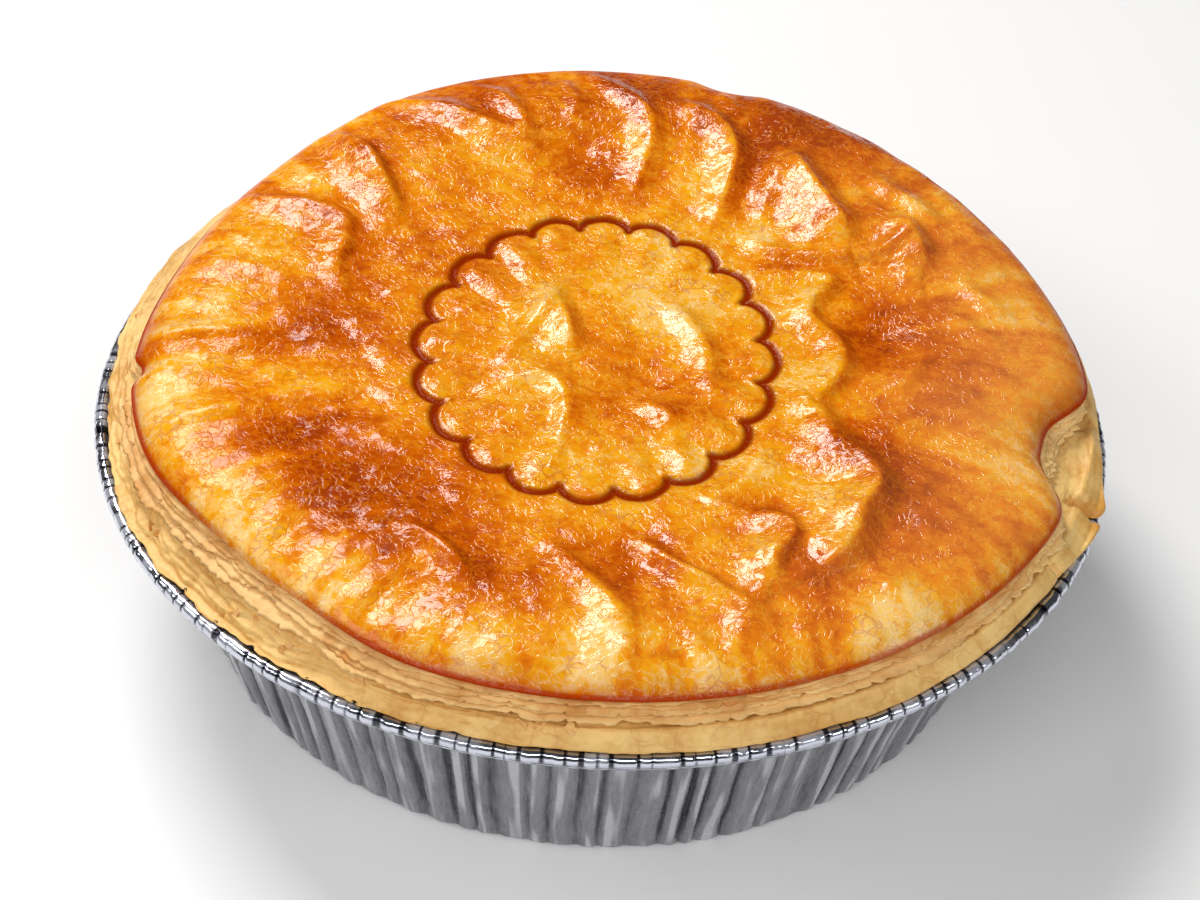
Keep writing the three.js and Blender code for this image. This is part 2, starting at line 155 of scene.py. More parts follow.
# Small wrinkles of the lid, in the same order; one of negative height is folded inwards
LID_WRINKLES = (
    (((58.5, 3), (55, 6.4), (51.8, 9.2)), 2.3, 1.5, 0.6),
    (((59, 11), (56.5, 14), (54, 17)), 1.8, 1.8, 0.7),
    (((43, -9), (45, -5.5), (47.5, -2)), 1.8, 1.6, 0.5),
    (((46.5, -42), (45, -37), (42, -31.5)), 2.9, 2.2, 0.4),
    (((37, -47), (41, -51.5), (45.5, -58)), 4.0, 4.2, 0.9),
    (((52, -44), (48, -35), (44, -27)), 3.5, 4.0, 0.5),
    (((5, -69), (5.2, -63), (5, -57)), 5.4, 1.8, 0.9),
    (((-6, -69), (-5.4, -64), (-4, -58)), 3.3, 1.3, 0.2),
    (((16, -68), (14.6, -64), (13, -59)), 1.9, 1.8, 0.2),
    (((-12.5, -69), (-11.6, -64), (-11, -58)), 3.8, 2.2, 0.2),
    (((30, -65.5), (29, -61), (28, -56)), 2.0, 1.9, 0.4),
    (((39.5, -62), (37.5, -58), (35, -54)), 1.8, 1.9, 0.5),
    (((-29.5, -62), (-27, -56.5), (-21.5, -52)), 1.8, 1.4, -0.6),
    (((-44, -49.5), (-41, -46), (-38.5, -42.5)), 2.3, 3.1, -0.6),
    (((-55, -38), (-51, -35.5), (-46, -33)), 3.0, 3.0, -0.5),
    (((-58, -12.2), (-50, -10), (-40, -9)), 1.8, 3.7, -0.5),
    (((-66, -20.5), (-60, -19.5), (-54, -19.8)), 4.2, 2.2, -0.2),
    (((-67, -7), (-61, -6), (-55, -5.6)), 2.8, 1.5, 1.0),
    (((-66, 4.6), (-59, 3), (-52, 1)), 1.8, 2.9, 0.2),
    (((-64, 12), (-58, 10.5), (-51, 9)), 4.0, 4.5, 0.6),
    (((-62, 18), (-55, 16.5), (-49, 16)), 2.3, 1.6, 0.2),
    (((-50, 12.5), (-54, 14.5), (-58, 17)), 2.5, 1.3, 0.2),
    (((41, 50), (38.5, 53), (36, 56)), 2.0, 2.0, 0.6),
    (((52, 40), (56, 33), (58, 27)), 2.3, 2.4, 0.5),
    (((20, 57), (18, 60.5), (16.5, 64)), 1.8, 1.8, 0.6),
    (((24, 51), (27, 57), (29, 62)), 2.3, 2.4, 0.6),
    (((61, -7), (55, -4), (49, -2)), 2.4, 2.4, 0.5),
    (((60, 20), (52, 19), (45, 19)), 2.1, 2.4, 0.5),
    (((-20, 20), (-26, 27), (-30, 34)), 3.4, 3.0, 0.2),
    (((-24, -30), (-30, -27), (-37, -27)), 2.2, 2.3, 0.2),
    (((-9, -36), (-15, -38), (-22, -37)), 2.4, 2.3, 0.2),
    (((24, -22), (21, -30), (15, -36)), 3.7, 3.5, 1.0),
    (((-29, 12), (-32, 5), (-33, -1)), 2.6, 2.6, 0.2),
    (((8, 29), (7.6, 33), (7, 37)), 1.8, 1.9, 0.2),
)

# Roundness of the foot of a crease's slopes, and of its crest
SLOPE_FOOT = 0.06
CREST_ROUND = 0.4 * MM

# Hollows of the lid: middle x, y, reach, depth; one of negative depth is a swelling
LID_HOLLOWS = (
    (40, 4, 6, 1.2),
    (43, -20, 8, 0.9),
    (-45, -26, 7, 0.4),
    (-35, -38, 6, 0.3),
    (6, -49, 5, 0.9),
    (-7, 46, 5, 0.9),
    (21, 52, 5, 1.0),
    (5, -11, 6, 0.7),
    (-50, -37, 9, -1.0),
)

# Where the lid baked darker: middle x, y, reach, share
DARK_PATCHES = (
    (-43, -28, 10, 0.45),
    (-33, -42, 9, 0.55),
    (-25, -50, 5, 0.2),
    (-24, -35, 7, 0.3),
    (-18, -40, 8, 0.15),
    (-12, -54, 6, 0.45),
    (3, -47, 8, 0.25),
    (15, -59, 6, 0.4),
    (32, -49, 6, 0.4),
    (22, -37, 5, 0.4),
    (37, -25, 6, 0.6),
    (44, -36, 7, 0.4),
    (52, -10, 8, 0.5),
    (43, 5, 9, 0.4),
    (27, 20, 4, 0.2),
    (52, -46, 8, 0.15),
    (61, 29, 8, 0.35),
    (33, 57, 12, 0.5),
    (42, 56, 6, 0.5),
    (23, 63, 6, 0.5),
    (14, 53, 4, 0.25),
    (4, 63, 9, 0.45),
    (-6, 70, 5, 0.35),
    (-21, 66, 6, 0.25),
    (-4, 40, 8, 0.45),
    (-31, 49, 6, 0.4),
    (-24, 32, 7, 0.15),
    (-42, 39, 6, 0.35),
    (-48, 23, 6, 0.25),
    (-47, -5, 8, 0.4),
    (-38, -4, 8, 0.3),
    (-38, 11, 8, 0.15),
    (-20, 15, 11, 0.3),
    (5, -5, 5, 0.2),
    (-12, -20, 5, 0.15),
)

# Where the lid stayed pale, in the same order
PALE_PATCHES = (
    (-60, 0, 8, 0.35),
    (-54, 20, 6, 0.25),
    (-64, -19, 7, 0.45),
    (-61, -28, 8, 0.4),
    (-48, -45, 7, 0.5),
    (-36, -56, 6, 0.25),
    (-44, -16, 6, 0.25),
    (9, -63, 8, 0.35),
    (-1, -68, 6, 0.25),
    (-21, -65, 6, 0.25),
    (43, -55, 7, 0.65),
    (54, -32, 6, 0.15),
    (48, 35, 7, 0.25),
    (37, 36, 6, 0.25),
    (61, 13, 6, 0.3),
    (-48, 33, 6, 0.2),
    (32, -8, 6, 0.3),
    (31, 11, 6, 0.35),
    (22, 27, 5, 0.3),
    (8, 23, 6, 0.25),
    (13, 38, 5, 0.2),
    (-8, 8, 11, 0.3),
    (10, 7, 9, 0.35),
    (-10, -9, 9, 0.2),
    (18, -29, 7, 0.35),
    (-2, -29, 7, 0.25),
    (31, -34, 5, 0.3),
    (34, -44, 5, 0.25),
    (-17, 40, 6, 0.3),
    (5, -39, 4, 0.25),
    (4, 46, 4, 0.3),
)

# Soft swellings round the pie: direction, spread and amount of each
RIM_WRINKLES = ((232, 45, 0.5), (280, 24, 1.2))
EDGE_WIDTHS = ((266, 24, 1.0), (22, 26, 1.1), (200, 22, 0.45), (184.5, 5, 1.5), (353, 15, 1.6))
EDGE_FADES = ((228, 13, 0.85), (295, 14, 0.35), (328, 22, 0.45))
LEAF_LEANS = ((190, 25, 0.9), (346, 9, 2.0), (315, 22, 0.7), (275, 20, 0.35))
BASE_TORN = ((222, 34, 1.0), (175, 30, 0.6))
BASE_DRAWN_IN = ((184, 20, 0.8), (355, 16, 0.8), (326, 14, 0.56))
CRUMB_SPOTS = ((264.6, 1.7, 1.0), (235, 40, 0.05))

# Underside of the lid's lip: how far out of its edge and how far below
LID_LIP = ((0.2, 0.15), (0.1, 0.32), (-2.5, 0.5))

# Section of a leaf: share of its reach, share of half its thickness
LEAF_SECTION = (
    (0.0, 1.0), (0.72, 1.0), (0.93, 0.8), (1.0, 0.1), (0.96, -0.8), (0.7, -1.0), (0.0, -1.0))

# Outside of the base's edge: how far out, share of the way down to the rim
BASE_LIP = ((0.1, 0.12), (0.14, 0.35), (0.02, 0.6), (-0.1, 0.85), (-0.3, 1.0))

# Underside of the rolled rim: how far out, how far up, share of the crimps
ROLLED_LIP = ((-0.9, 0.0, 0.0), (0.0, -0.12, 0.2), (0.42, 0.05, 0.4), (0.4, 0.35, 0.4), (0.0, 0.45, 0.6))

# Where the bead of the rolled rim begins and ends, in degrees
BEAD_ARC = (-52, 165)

# Section of the base's edge at the front and right: radius and fall from the seat
BASE_SECTION = (
    (69.5, 0.3), (71.0, 0.75), (72.0, 0.8), (72.7, 0.5), (73.1, 0.55), (73.6, 1.1), (74.5, 1.9),
    (75.3, 2.7),
)

# Torn layers of the base's edge at the left front: radius and fall
BASE_LAYERS = (
    (70.2, 0.45),
    (71.0, 0.55),
    (71.8, 0.55),
    (72.6, 0.6),
    (73.3, 0.6),
)

# How far each leaf of the lid's side stands out, from the top leaf downwards
LEAF_REACHES = (-0.1, 0.2, -0.2, 0.25, -0.1, 0.6)

# Hollows in the base where the lid has broken away: middle x, y, reach, depth; one of negative
# depth is a lump left standing
BASE_PITS = (
    (71.2, -3.4, 1.7, 1.4),
    (69.0, -14.5, 1.5, 0.9),
    (73.0, -10.8, 3.6, -1.1),
    (67.4, -36.3, 1.0, 1.2),
)

# Splits in the edge of the base: direction, spread, depth
BASE_SPLITS = (
    (343.0, 0.75, 3.6),
    (331.5, 0.45, 1.0),
    (232.5, 0.5, 0.9),
    (221, 0.35, 0.7),
    (246, 0.4, 0.6),
    (207, 0.3, 0.5),
    (212, 0.25, 0.5),
    (240, 0.25, 0.5),
    (227, 0.25, 0.6),
    (253, 0.3, 0.5),
)


def linear(red, green, blue):
    """A colour given in 0 to 255 steps as linear light."""
    steps = (value / 255.0 for value in (red, green, blue))
    return tuple(s / 12.92 if s <= 0.04045 else ((s + 0.055) / 1.055) ** 2.4 for s in steps)


def length(name, description, millimetres):
    return bpy.props.FloatProperty(
        name=name, description=description, default=millimetres * MM, unit="LENGTH", precision=5)


def whole_number(name, description, default):
    return bpy.props.IntProperty(name=name, description=description, default=default)


def plain_number(name, description, default):
    return bpy.props.FloatProperty(name=name, description=description, default=default)


def flat_place(name, description, x, y):
    return bpy.props.FloatVectorProperty(
        name=name, description=description, default=(x * MM, y * MM), unit="LENGTH", size=2)


def colour(name, description, default):
    return bpy.props.FloatVectorProperty(
        name=name, description=description, default=default, subtype="COLOR", size=3,
        min=0.0, max=1.0)


class PieDishSizes(bpy.types.PropertyGroup):
    """Sizes of the foil dish."""
    rim_radius: length("Rim radius", "Outside of the rolled rim", 76.0)
    rim_oval: plain_number("Rim oval", "How much wider the rim is across than deep", 0.01)
    rim_height: length("Rim height", "Middle of the rolled rim", 33.6)
    bead_radius: length("Bead radius", "Half the thickness of the rolled rim", 1.05)
    foot_radius: length("Foot radius", "Outside of the foot", 61.2)
    foot_curve: length("Foot curve", "Rounding between the foot and the wall", 1.4)
    wall_top_radius: length("Wall top radius", "Outside of the wall below the ledge", 68.8)
    wall_top_height: length("Wall top height", "Where the wall turns into the ledge", 32.2)
    pleat_count: whole_number("Pleats", "Pleats in the wall", 104)
    pleat_depth: length("Pleat depth", "How far a pleat stands out of the wall", 1.1)
    pleat_top: length("Pleat top", "Where the pleats fade out under the rim", 31.6)
    crimp_count: whole_number("Crimps", "Creases across the rolled rim", 190)
    crimp_depth: length("Crimp depth", "Depth of a crease in the rolled rim", 0.3)
    foil_skin: length("Foil thickness", "Thickness of the dish between the pleats", 0.7)


class PiePastrySizes(bpy.types.PropertyGroup):
    """Sizes of the pastry base and lid."""
    fit_gap: length("Gap", "Gap between neighbouring pieces", 0.3)
    flange_radius: length("Base edge radius", "Outside of the base's edge", 75.0)
    lid_radius: length("Lid radius", "Radius of the lid", 71.8)
    lid_shift: flat_place("Lid shift", "Middle of the lid from the middle of the dish", 1.0, 0.4)
    seat_height: length("Seat height", "Underside of the lid at the middle", 39.6)
    seat_slope: plain_number("Seat slope", "Rise of the underside towards the back", 0.018)
    edge_height: length("Edge height", "Top of the lid's edge at the sides", 43.4)
    edge_front_drop: length("Edge drop", "How much lower the edge is at the front", 1.3)
    edge_rear_rise: length("Edge rise", "How much higher the edge is at the back", 4.9)
    rear_at: plain_number("High side", "Direction of the highest edge in degrees", 98.0)
    rear_spread: plain_number("High spread", "Degrees either side that rise", 46.0)
    crown_height: length("Crown height", "Top of the lid at the middle", 46.4)
    crown_slope: plain_number("Crown slope", "Rise of the top towards the back", 0.035)
    puff_front: length("Puff at the front", "Height of the ring of puff at the front", 0.8)
    puff_rear: length("Puff at the back", "Height of the ring of puff at the back", 3.2)
    shoulder_power: plain_number("Shoulder", "How sharply the top turns down to the edge", 34.0)
    leaf_thickness: length("Leaf thickness", "Thickness of one leaf", 0.36)
    leaf_lean: length("Leaf lean", "How far the lower leaves spread at the left", 2.4)
    ring_half_width: length("Ring half width", "Half the pressed ring's width", 27.1)
    ring_half_depth: length("Ring half depth", "Half the pressed ring's depth", 32.9)
    ring_middle: flat_place("Ring middle", "Middle of the pressed ring", -1.5, -3.7)
    scallop_count: whole_number("Scallops", "Scallops of the pressed ring", 20)
    scallop_depth: length("Scallop depth", "Depth of a scallop", 2.5)
    groove_width: length("Groove width", "Width of the pressed groove", 2.1)
    groove_depth: length("Groove depth", "Depth of the pressed groove", 0.5)


class PieColours(bpy.types.PropertyGroup):
    """Colours of the pie, the foil and the floor."""
    crust_pale: colour("Pale crust", "Least baked part of the lid", linear(255, 208, 112))
    crust_golden: colour("Golden crust", "Golden part of the lid", linear(247, 174, 22))
    crust_orange: colour("Orange crust", "Well baked part of the lid", linear(234, 129, 4))
    crust_brown: colour("Brown crust", "Darker part of the lid", linear(202, 88, 0))
    # Stroke colours: paler glaze on the wrinkles' crests, with a painted highlight on them
    stroke_pale_lit: colour("Pale strokes", "Fine wrinkles of pale glaze", linear(255, 236, 190))
    stroke_golden_lit: colour("Golden strokes", "Fine wrinkles of dark glaze", linear(255, 188, 58))
    crust_dark: colour("Dark crust", "Darkest part of the lid", linear(162, 58, 0))
    groove: colour("Groove", "Caramel in the pressed ring", linear(140, 36, 0))
    edge: colour("Lid edge", "Browned band along the lid's edge", linear(180, 66, 0))
    caramel: colour("Caramel line", "Baked sugar at the lid's very edge", linear(172, 50, 0))
    crust_bare: colour("Bare crust", "Crust at the right, with little glaze", linear(232, 156, 92))
    leaf: colour("Leaves", "Pale leaves of the lid's side", linear(252, 212, 142))
    leaf_toast: colour("Toasted leaves", "Toasted tips of the leaves", linear(206, 132, 48))
    base: colour("Base pastry", "Pale base pastry", linear(250, 210, 132))
    # Toast colour, also used for the painted shade at the feet of the base's torn layers
    base_toast_and_shade: colour("Toasted base", "Toasted parts of the base", linear(208, 148, 62))
    foil: colour("Foil rim", "Bright foil of the rolled rim", linear(214, 217, 230))
    foil_wall: colour("Foil wall", "Satin foil of the wall", linear(160, 159, 164))
    # Colour of the painted highlight strokes on the pleats
    foil_painted_highlight: colour("Foil ridges", "Bright strokes on the pleats", linear(246, 246, 250))
    # Colour of the painted shade in the creases of the pleats and crimps
    foil_painted_shade: colour("Foil creases", "Foil in the creases", linear(60, 60, 68))
    floor: colour("Floor", "Plain pale floor", linear(250, 250, 250))


def dish():
    """The foil dish's sizes."""
    return bpy.context.scene.pie_dish


def pastry():
    """The pastry's sizes."""
    return bpy.context.scene.pie_pastry


def colours():
    """The pie's colours."""
    return bpy.context.scene.pie_colours


# Shaping helpers

def mix(first, second, share):
    """A value the given share of the way from the first to the second."""
    return first + (second - first) * share


def bell(distance, reach):
    """One at the middle, falling softly to nought past the reach."""
    return np.exp(-((distance / reach) ** 2))


def smooth(low, high, value):
    """Nought below low, one above high, smooth between."""
    share = np.clip((value - low) / (high - low), 0.0, 1.0)
    return share * share * (3.0 - 2.0 * share)


def turn(angle, degrees):
    """Signed turn from a direction in degrees to an angle in radians."""
    return (np.degrees(angle) - degrees + 540.0) % 360.0 - 180.0


def soft_noise(x, y, cell, seed):
    """Smooth uneven field between -1 and 1 with lumps of the size of a cell."""
    size = 256
    table = np.random.default_rng(seed).uniform(-1.0, 1.0, (size, size))
    gx, gy = np.asarray(x) / cell, np.asarray(y) / cell
    ix, iy = np.floor(gx).astype(int), np.floor(gy).astype(int)
    fx, fy = gx - ix, gy - iy
    fx, fy = fx * fx * (3 - 2 * fx), fy * fy * (3 - 2 * fy)
    low = mix(table[ix % size, iy % size], table[(ix + 1) % size, iy % size], fx)
    high = mix(table[ix % size, (iy + 1) % size], table[(ix + 1) % size, (iy + 1) % size], fx)
    return mix(low, high, fy)


def round_noise(angle, radius, cell, seed):
    """Uneven field along a circle that closes on itself."""
    return soft_noise(radius * np.cos(angle), radius * np.sin(angle), cell, seed)


def swell(angle, places):
    """Sum of soft swellings round the pie: direction, spread and amount of each."""
    return sum(amount * bell(turn(angle, degrees), spread) for degrees, spread, amount in places)


def angles(count):
    """Evenly spaced directions in radians."""
    return np.arange(count) * (TAU / count)


# Meshes

def plain_mesh(name, points, faces, smooth_faces=True):
    """A mesh from points and a list of face arrays, each of one corner count."""
    mesh = bpy.data.meshes.new(name)
    corners = np.concatenate([block.ravel() for block in faces]).astype(np.int32)
    totals = np.concatenate([np.full(len(block), block.shape[1]) for block in faces])
    starts = np.concatenate(([0], np.cumsum(totals)[:-1])).astype(np.int32)
    mesh.vertices.add(len(points))
    mesh.vertices.foreach_set("co", np.asarray(points, dtype=np.float32).ravel())
    mesh.loops.add(len(corners))
    mesh.loops.foreach_set("vertex_index", corners)
    mesh.polygons.add(len(totals))
    mesh.polygons.foreach_set("loop_start", starts)
    mesh.polygons.foreach_set("use_smooth", np.full(len(totals), smooth_faces))
    mesh.update(calc_edges=True)
    return mesh


def stack_faces(rows, count, first, closed=False):
    """Quads between the rings of a stack, the rings listed from the axis at the top downwards."""
    step = np.arange(count)
    after = (step + 1) % count
    blocks = []
    for row in range(rows if closed else rows - 1):
        upper = first + row * count
        lower = first + ((row + 1) % rows) * count
        blocks.append(np.stack([upper + step, lower + step, lower + after, upper + after], 1))
    return np.concatenate(blocks)


def capped_stack(name, rings, top, bottom):
    """Closed mesh from rings listed downwards, with a point at each end."""
    rows, count = rings.shape[:2]
    points = np.concatenate([[top], rings.reshape(-1, 3), [bottom]])
    step = np.arange(count)
    after = (step + 1) % count
    last = 1 + (rows - 1) * count
    cap = np.stack([np.zeros(count, int), 1 + step, 1 + after], 1)
    foot = np.stack([np.full(count, len(points) - 1), last + after, last + step], 1)
    return plain_mesh(name, points, [cap, stack_faces(rows, count, 1), foot])


def add_field(mesh, name, values):
    """Keeps one number for each point of a mesh."""
    field = mesh.attributes.new(name, "FLOAT", "POINT")
    field.data.foreach_set("value", np.asarray(values, dtype=np.float32).ravel())


def add_course(mesh, points):
    """Keeps where each point lies along and across the layers that run round the pie."""
    flat = np.hypot(points[:, 0], points[:, 1])
    run = points[:, :2] / np.maximum(flat, MM)[:, None] * BASE_COURSE
    course = np.column_stack([run, COURSE_ACROSS * (flat + points[:, 2])])
    field = mesh.attributes.new("course", "FLOAT_VECTOR", "POINT")
    field.data.foreach_set("vector", course.astype(np.float32).ravel())


def around(angle, radius, height):
    """Points at a radius and height round the dish, made oval as the rim is."""
    oval = radius * (1.0 + dish().rim_oval * np.cos(2.0 * angle))
    return np.stack([oval * np.cos(angle), oval * np.sin(angle), height + 0.0 * angle], -1)


def place(name, mesh, finish, node, slot):
    """Shows a mesh as a piece of the pie that stands for a node."""
    piece = bpy.data.objects.new(name, mesh)
    bpy.context.scene.collection.objects.link(piece)
    if finish is not None:
        mesh.materials.clear()
        mesh.materials.append(finish)
    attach(piece, "root")
    if node:
        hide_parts(node)
    return piece


# Node trees

# What a colour noise swings about
MIDDLE_GREY = (0.5, 0.5, 0.5)


class Field:
    """A node socket that Python's operators build on."""

    def __init__(self, tree, socket):
        self.tree = tree
        self.socket = socket

    def math(self, operation, *values):
        return self.tree.node("ShaderNodeMath", {"operation": operation}, dict(enumerate(values)))

    def __add__(self, other):
        return self.math("ADD", self, other)

    __radd__ = __add__

    def __sub__(self, other):
        return self.math("SUBTRACT", self, other)

    def __rsub__(self, other):
        return self.math("SUBTRACT", other, self)

    def __mul__(self, other):
        return self.math("MULTIPLY", self, other)

    __rmul__ = __mul__

    def __pow__(self, other):
        return self.math("POWER", self, other)

    def __abs__(self):
        return self.math("ABSOLUTE", self)

    def beside(self, output):
        """Another output of the same node."""
        return Field(self.tree, self.socket.node.outputs[output])

    def most(self, other):
        return self.math("MAXIMUM", self, other)

    def step(self, low, high):
        """Nought below low, one above high, smooth between."""
        return self.tree.node(
            "ShaderNodeMapRange", {"interpolation_type": "SMOOTHSTEP"},
            {"Value": self, "From Min": low, "From Max": high})


class Tree:
    """A node tree, built node by node."""

    def __init__(self, tree):
        self.tree = tree

    def node(self, kind, settings=None, sockets=None, output=0):
        """A new node: its settings first, then the values or links of its sockets."""
        made = self.tree.nodes.new(kind)
        for key, value in (settings or {}).items():
            if key == "stops":
                self.set_stops(made.color_ramp, value)
            else:
                setattr(made, key, value)
        for key, value in (sockets or {}).items():
            if isinstance(value, Field):
                self.tree.links.new(value.socket, made.inputs[key])
            else:
                made.inputs[key].default_value = value
        return Field(self, made.outputs[output]) if made.outputs else None

    def vector(self, operation, first, second=None, scale=None, output="Vector"):
        given = {0: first, 1: second, "Scale": scale}
        sockets = {key: value for key, value in given.items() if value is not None}
        return self.node("ShaderNodeVectorMath", {"operation": operation}, sockets, output)

    @staticmethod
    def set_stops(ramp, stops):
        while len(ramp.elements) < len(stops):
            ramp.elements.new(1.0)
        for element, (position, shade) in zip(ramp.elements, stops):
            element.position = position
            element.color = (*shade, 1.0)


class Finish(Tree):
    """A procedural material."""

    def __init__(self, name):
        self.material = bpy.data.materials.new(name)
        self.material.use_nodes = True
        super().__init__(self.material.node_tree)
        self.tree.nodes.clear()
        self.place = self.node("ShaderNodeTexCoord", output="Object")

    def attribute(self, name, output="Fac"):
        return self.node("ShaderNodeAttribute", {"attribute_name": name}, output=output)

    def noise(self, scale, detail=3.0, place=None):
        return self.node(
            "ShaderNodeTexNoise", None,
            {"Vector": place or self.place, "Scale": scale, "Detail": detail})

    def shifted(self, scale, reach):
        """The place, moved about by a noise so that lines on it wander."""
        wander = self.node(
            "ShaderNodeTexNoise", None, {"Vector": self.place, "Scale": scale, "Detail": 2.0},
            output="Color")
        centred = self.vector("SUBTRACT", wander, MIDDLE_GREY)
        return self.vector("ADD", self.place, self.vector("SCALE", centred, scale=reach))

    def stretched(self, scale):
        return self.node("ShaderNodeMapping", None, {"Vector": self.place, "Scale": scale})

    def cells(self, scale, feature="DISTANCE_TO_EDGE", place=None):
        return self.node(
            "ShaderNodeTexVoronoi", {"feature": feature},
            {"Vector": place or self.place, "Scale": scale}, output="Distance")

    def curls(self, scale, start):
        """Short curled strokes."""
        place = self.vector("ADD", self.place, start)
        contour = 1.0 - abs(self.noise(scale, 0.6, place) - 0.5).step(0.008, 0.045)
        return contour * self.noise(scale * 0.8, 0.5, place).step(0.44, 0.56)

    def crinkle(self, scale, place):
        """Tilted facets of a crinkled skin: their height in metres, and their random share."""
        cell = self.node(
            "ShaderNodeTexVoronoi", {"feature": "F1"}, {"Vector": place, "Scale": scale},
            output="Position")
        local = self.vector("SUBTRACT", place, cell)
        way = self.vector("SUBTRACT", cell.beside("Color"), MIDDLE_GREY)
        height = self.vector("DOT_PRODUCT", local, way, output="Value")
        return height, self.node("ShaderNodeSeparateXYZ", None, {0: cell.beside("Color")})

    def blend(self, share, first, second):
        return self.node(
            "ShaderNodeMix", {"data_type": "RGBA"},
            {0: share, 6: first if isinstance(first, Field) else (*first, 1.0),
             7: second if isinstance(second, Field) else (*second, 1.0)}, output=2)

    def ramp(self, share, stops):
        return self.node("ShaderNodeValToRGB", {"stops": stops}, {"Fac": share})

    def bump(self, height, distance, strength):
        return self.node(
            "ShaderNodeBump", None,
            {"Height": height, "Distance": distance, "Strength": strength})

    def shader(self, **sockets):
        """A surface; a constant goes on the shader's own socket."""
        named = {key.replace("_", " "): value for key, value in sockets.items()}
        return self.node("ShaderNodeBsdfPrincipled", None, named)

    def shown(self, shader):
        self.node("ShaderNodeOutputMaterial", None, {"Surface": shader})
        return self.material

    def surface(self, **sockets):
        return self.shown(self.shader(**sockets))


class Shape(Tree):
    """A geometry node tree with named inputs."""

    def __init__(self, name):
        super().__init__(bpy.data.node_groups.new(name, "GeometryNodeTree"))
        self.tree.interface.new_socket("Geometry", in_out="OUTPUT", socket_type="NodeSocketGeometry")
        self.tree.interface.new_socket("Geometry", in_out="INPUT", socket_type="NodeSocketGeometry")
        self.sizes = {}
        self.start = self.tree.nodes.new("NodeGroupInput")

    def size(self, name, value, kind="NodeSocketFloat"):
        """A named input and the value it is given."""
        socket = self.tree.interface.new_socket(name, in_out="INPUT", socket_type=kind)
        self.sizes[socket.identifier] = value
        return Field(self, self.start.outputs[name])

    def geometry(self):
        return Field(self, self.start.outputs["Geometry"])

    def attribute(self, name):
        return self.node(
            "GeometryNodeInputNamedAttribute", {"data_type": "FLOAT"}, {"Name": name})

    def finish(self, geometry, material):
        whole = self.node("GeometryNodeRealizeInstances", None, {"Geometry": geometry})
        shown = self.node("GeometryNodeSetMaterial", None, {"Geometry": whole, "Material": material})
        self.node("NodeGroupOutput", None, {"Geometry": shown})

    def grow(self, name, mesh):
        """The tree's result on a mesh, as a plain mesh."""
        carrier = bpy.data.objects.new(name, mesh)
        bpy.context.scene.collection.objects.link(carrier)
        modifier = carrier.modifiers.new(name, "NODES")
        modifier.node_group = self.tree
        for identifier, value in self.sizes.items():
            modifier[identifier] = value
        seen = carrier.evaluated_get(bpy.context.evaluated_depsgraph_get())
        grown = bpy.data.meshes.new_from_object(seen)
        bpy.data.objects.remove(carrier)
        grown.name = name
        if not grown.polygons:
            raise RuntimeError(f"{name} came out empty")
        return grown


# Finishes

def foil_finish():
    """Satin foil on the wall with painted shade in its creases and painted highlight strokes on its
    ridges, and bright foil on the rolled rim with painted shade in its crimps.
    """
    tone = colours()
    finish = Finish("bright_foil")
    crease = finish.attribute("crease")
    bead = finish.attribute("bead")
    heading = finish.attribute("heading", "Vector")
    streak = finish.noise(150.0, 3.0, heading)
    cloud = finish.noise(160.0, 4.0)
    scuff = finish.noise(900.0, 3.0)
    # Painted shade in the creases of the pleats
    crease_line_shade = crease.step(0.55, 0.95)
    wall = finish.blend(
        (crease * 0.6 + crease_line_shade * 0.45 + (streak - 0.5) * 0.9 + (cloud - 0.5) * 0.25).step(-0.25, 1.1),
        tone.foil_wall, tone.foil_painted_shade)
    # Painted highlight strokes along the pleats' ridges
    ridge_highlight = (1.0 - crease.step(0.0, 0.04)) * finish.noise(50.0, 0.0, heading).step(0.36, 0.66)
    wall = finish.blend(ridge_highlight * 0.55, wall, tone.foil_painted_highlight)
    # Painted shade in the crimps of the rolled rim
    rim = finish.blend(crease.step(0.1, 0.5), tone.foil, tone.foil_painted_shade)
    height = streak * 0.5 + cloud * 0.35 + scuff * 0.08
    flash = finish.noise(240.0, 2.0).step(0.42, 0.6)
    return finish.surface(
        Base_Color=finish.blend(bead, wall, rim), Metallic=1.0 - bead * (0.06 + flash * 0.42),
        Roughness=mix(0.28, 0.1, bead) + (scuff - 0.5) * 0.12,
        Normal=finish.bump(height * (1.0 - bead * 0.85), 0.2 * MM, 0.6))


def base_finish():
    """Pale, matt pastry with toasted patches and painted shade at the feet of its torn layers, fine
    cracks and freckles.
    """
    tone = colours()
    finish = Finish("base_pastry")
    toast = finish.attribute("toast")
    course = finish.attribute("course", "Vector")
    cloud = finish.noise(95.0, 4.0)
    grain = finish.noise(1100.0, 3.0)
    fibre = finish.noise(240.0, 4.0, course)
    wander = finish.shifted(380.0, 2.5 * MM)
    plate, patch = finish.crinkle(330.0, wander)
    crack = 1.0 - finish.cells(330.0, place=wander).step(0.015, 0.07)
    share = (toast + (cloud - 0.5) * 1.3 + (fibre - 0.5) * 0.7 + (grain - 0.5) * 0.35
             + (patch - 0.5) * 0.12)
    base = finish.blend(share.step(0.0, 0.95), tone.base, tone.base_toast_and_shade)
    base = finish.blend(crack * fibre.step(0.42, 0.6) * 0.26, base, tone.leaf_toast)
    freckles = (1.0 - finish.cells(420.0, "F1").step(0.1, 0.2)) * cloud.step(0.45, 0.6)
    base = finish.blend(freckles * 0.4, base, tone.leaf_toast)
    height = cloud * 0.6 + grain * 0.1 + fibre * 0.15 - crack * 0.05 + plate * (0.42 / (0.35 * MM))
    return finish.surface(
        Base_Color=base, Roughness=0.5 - (cloud - 0.5) * 0.4, Specular_IOR_Level=0.4,
        Normal=finish.bump(height, 0.35 * MM, 0.7))


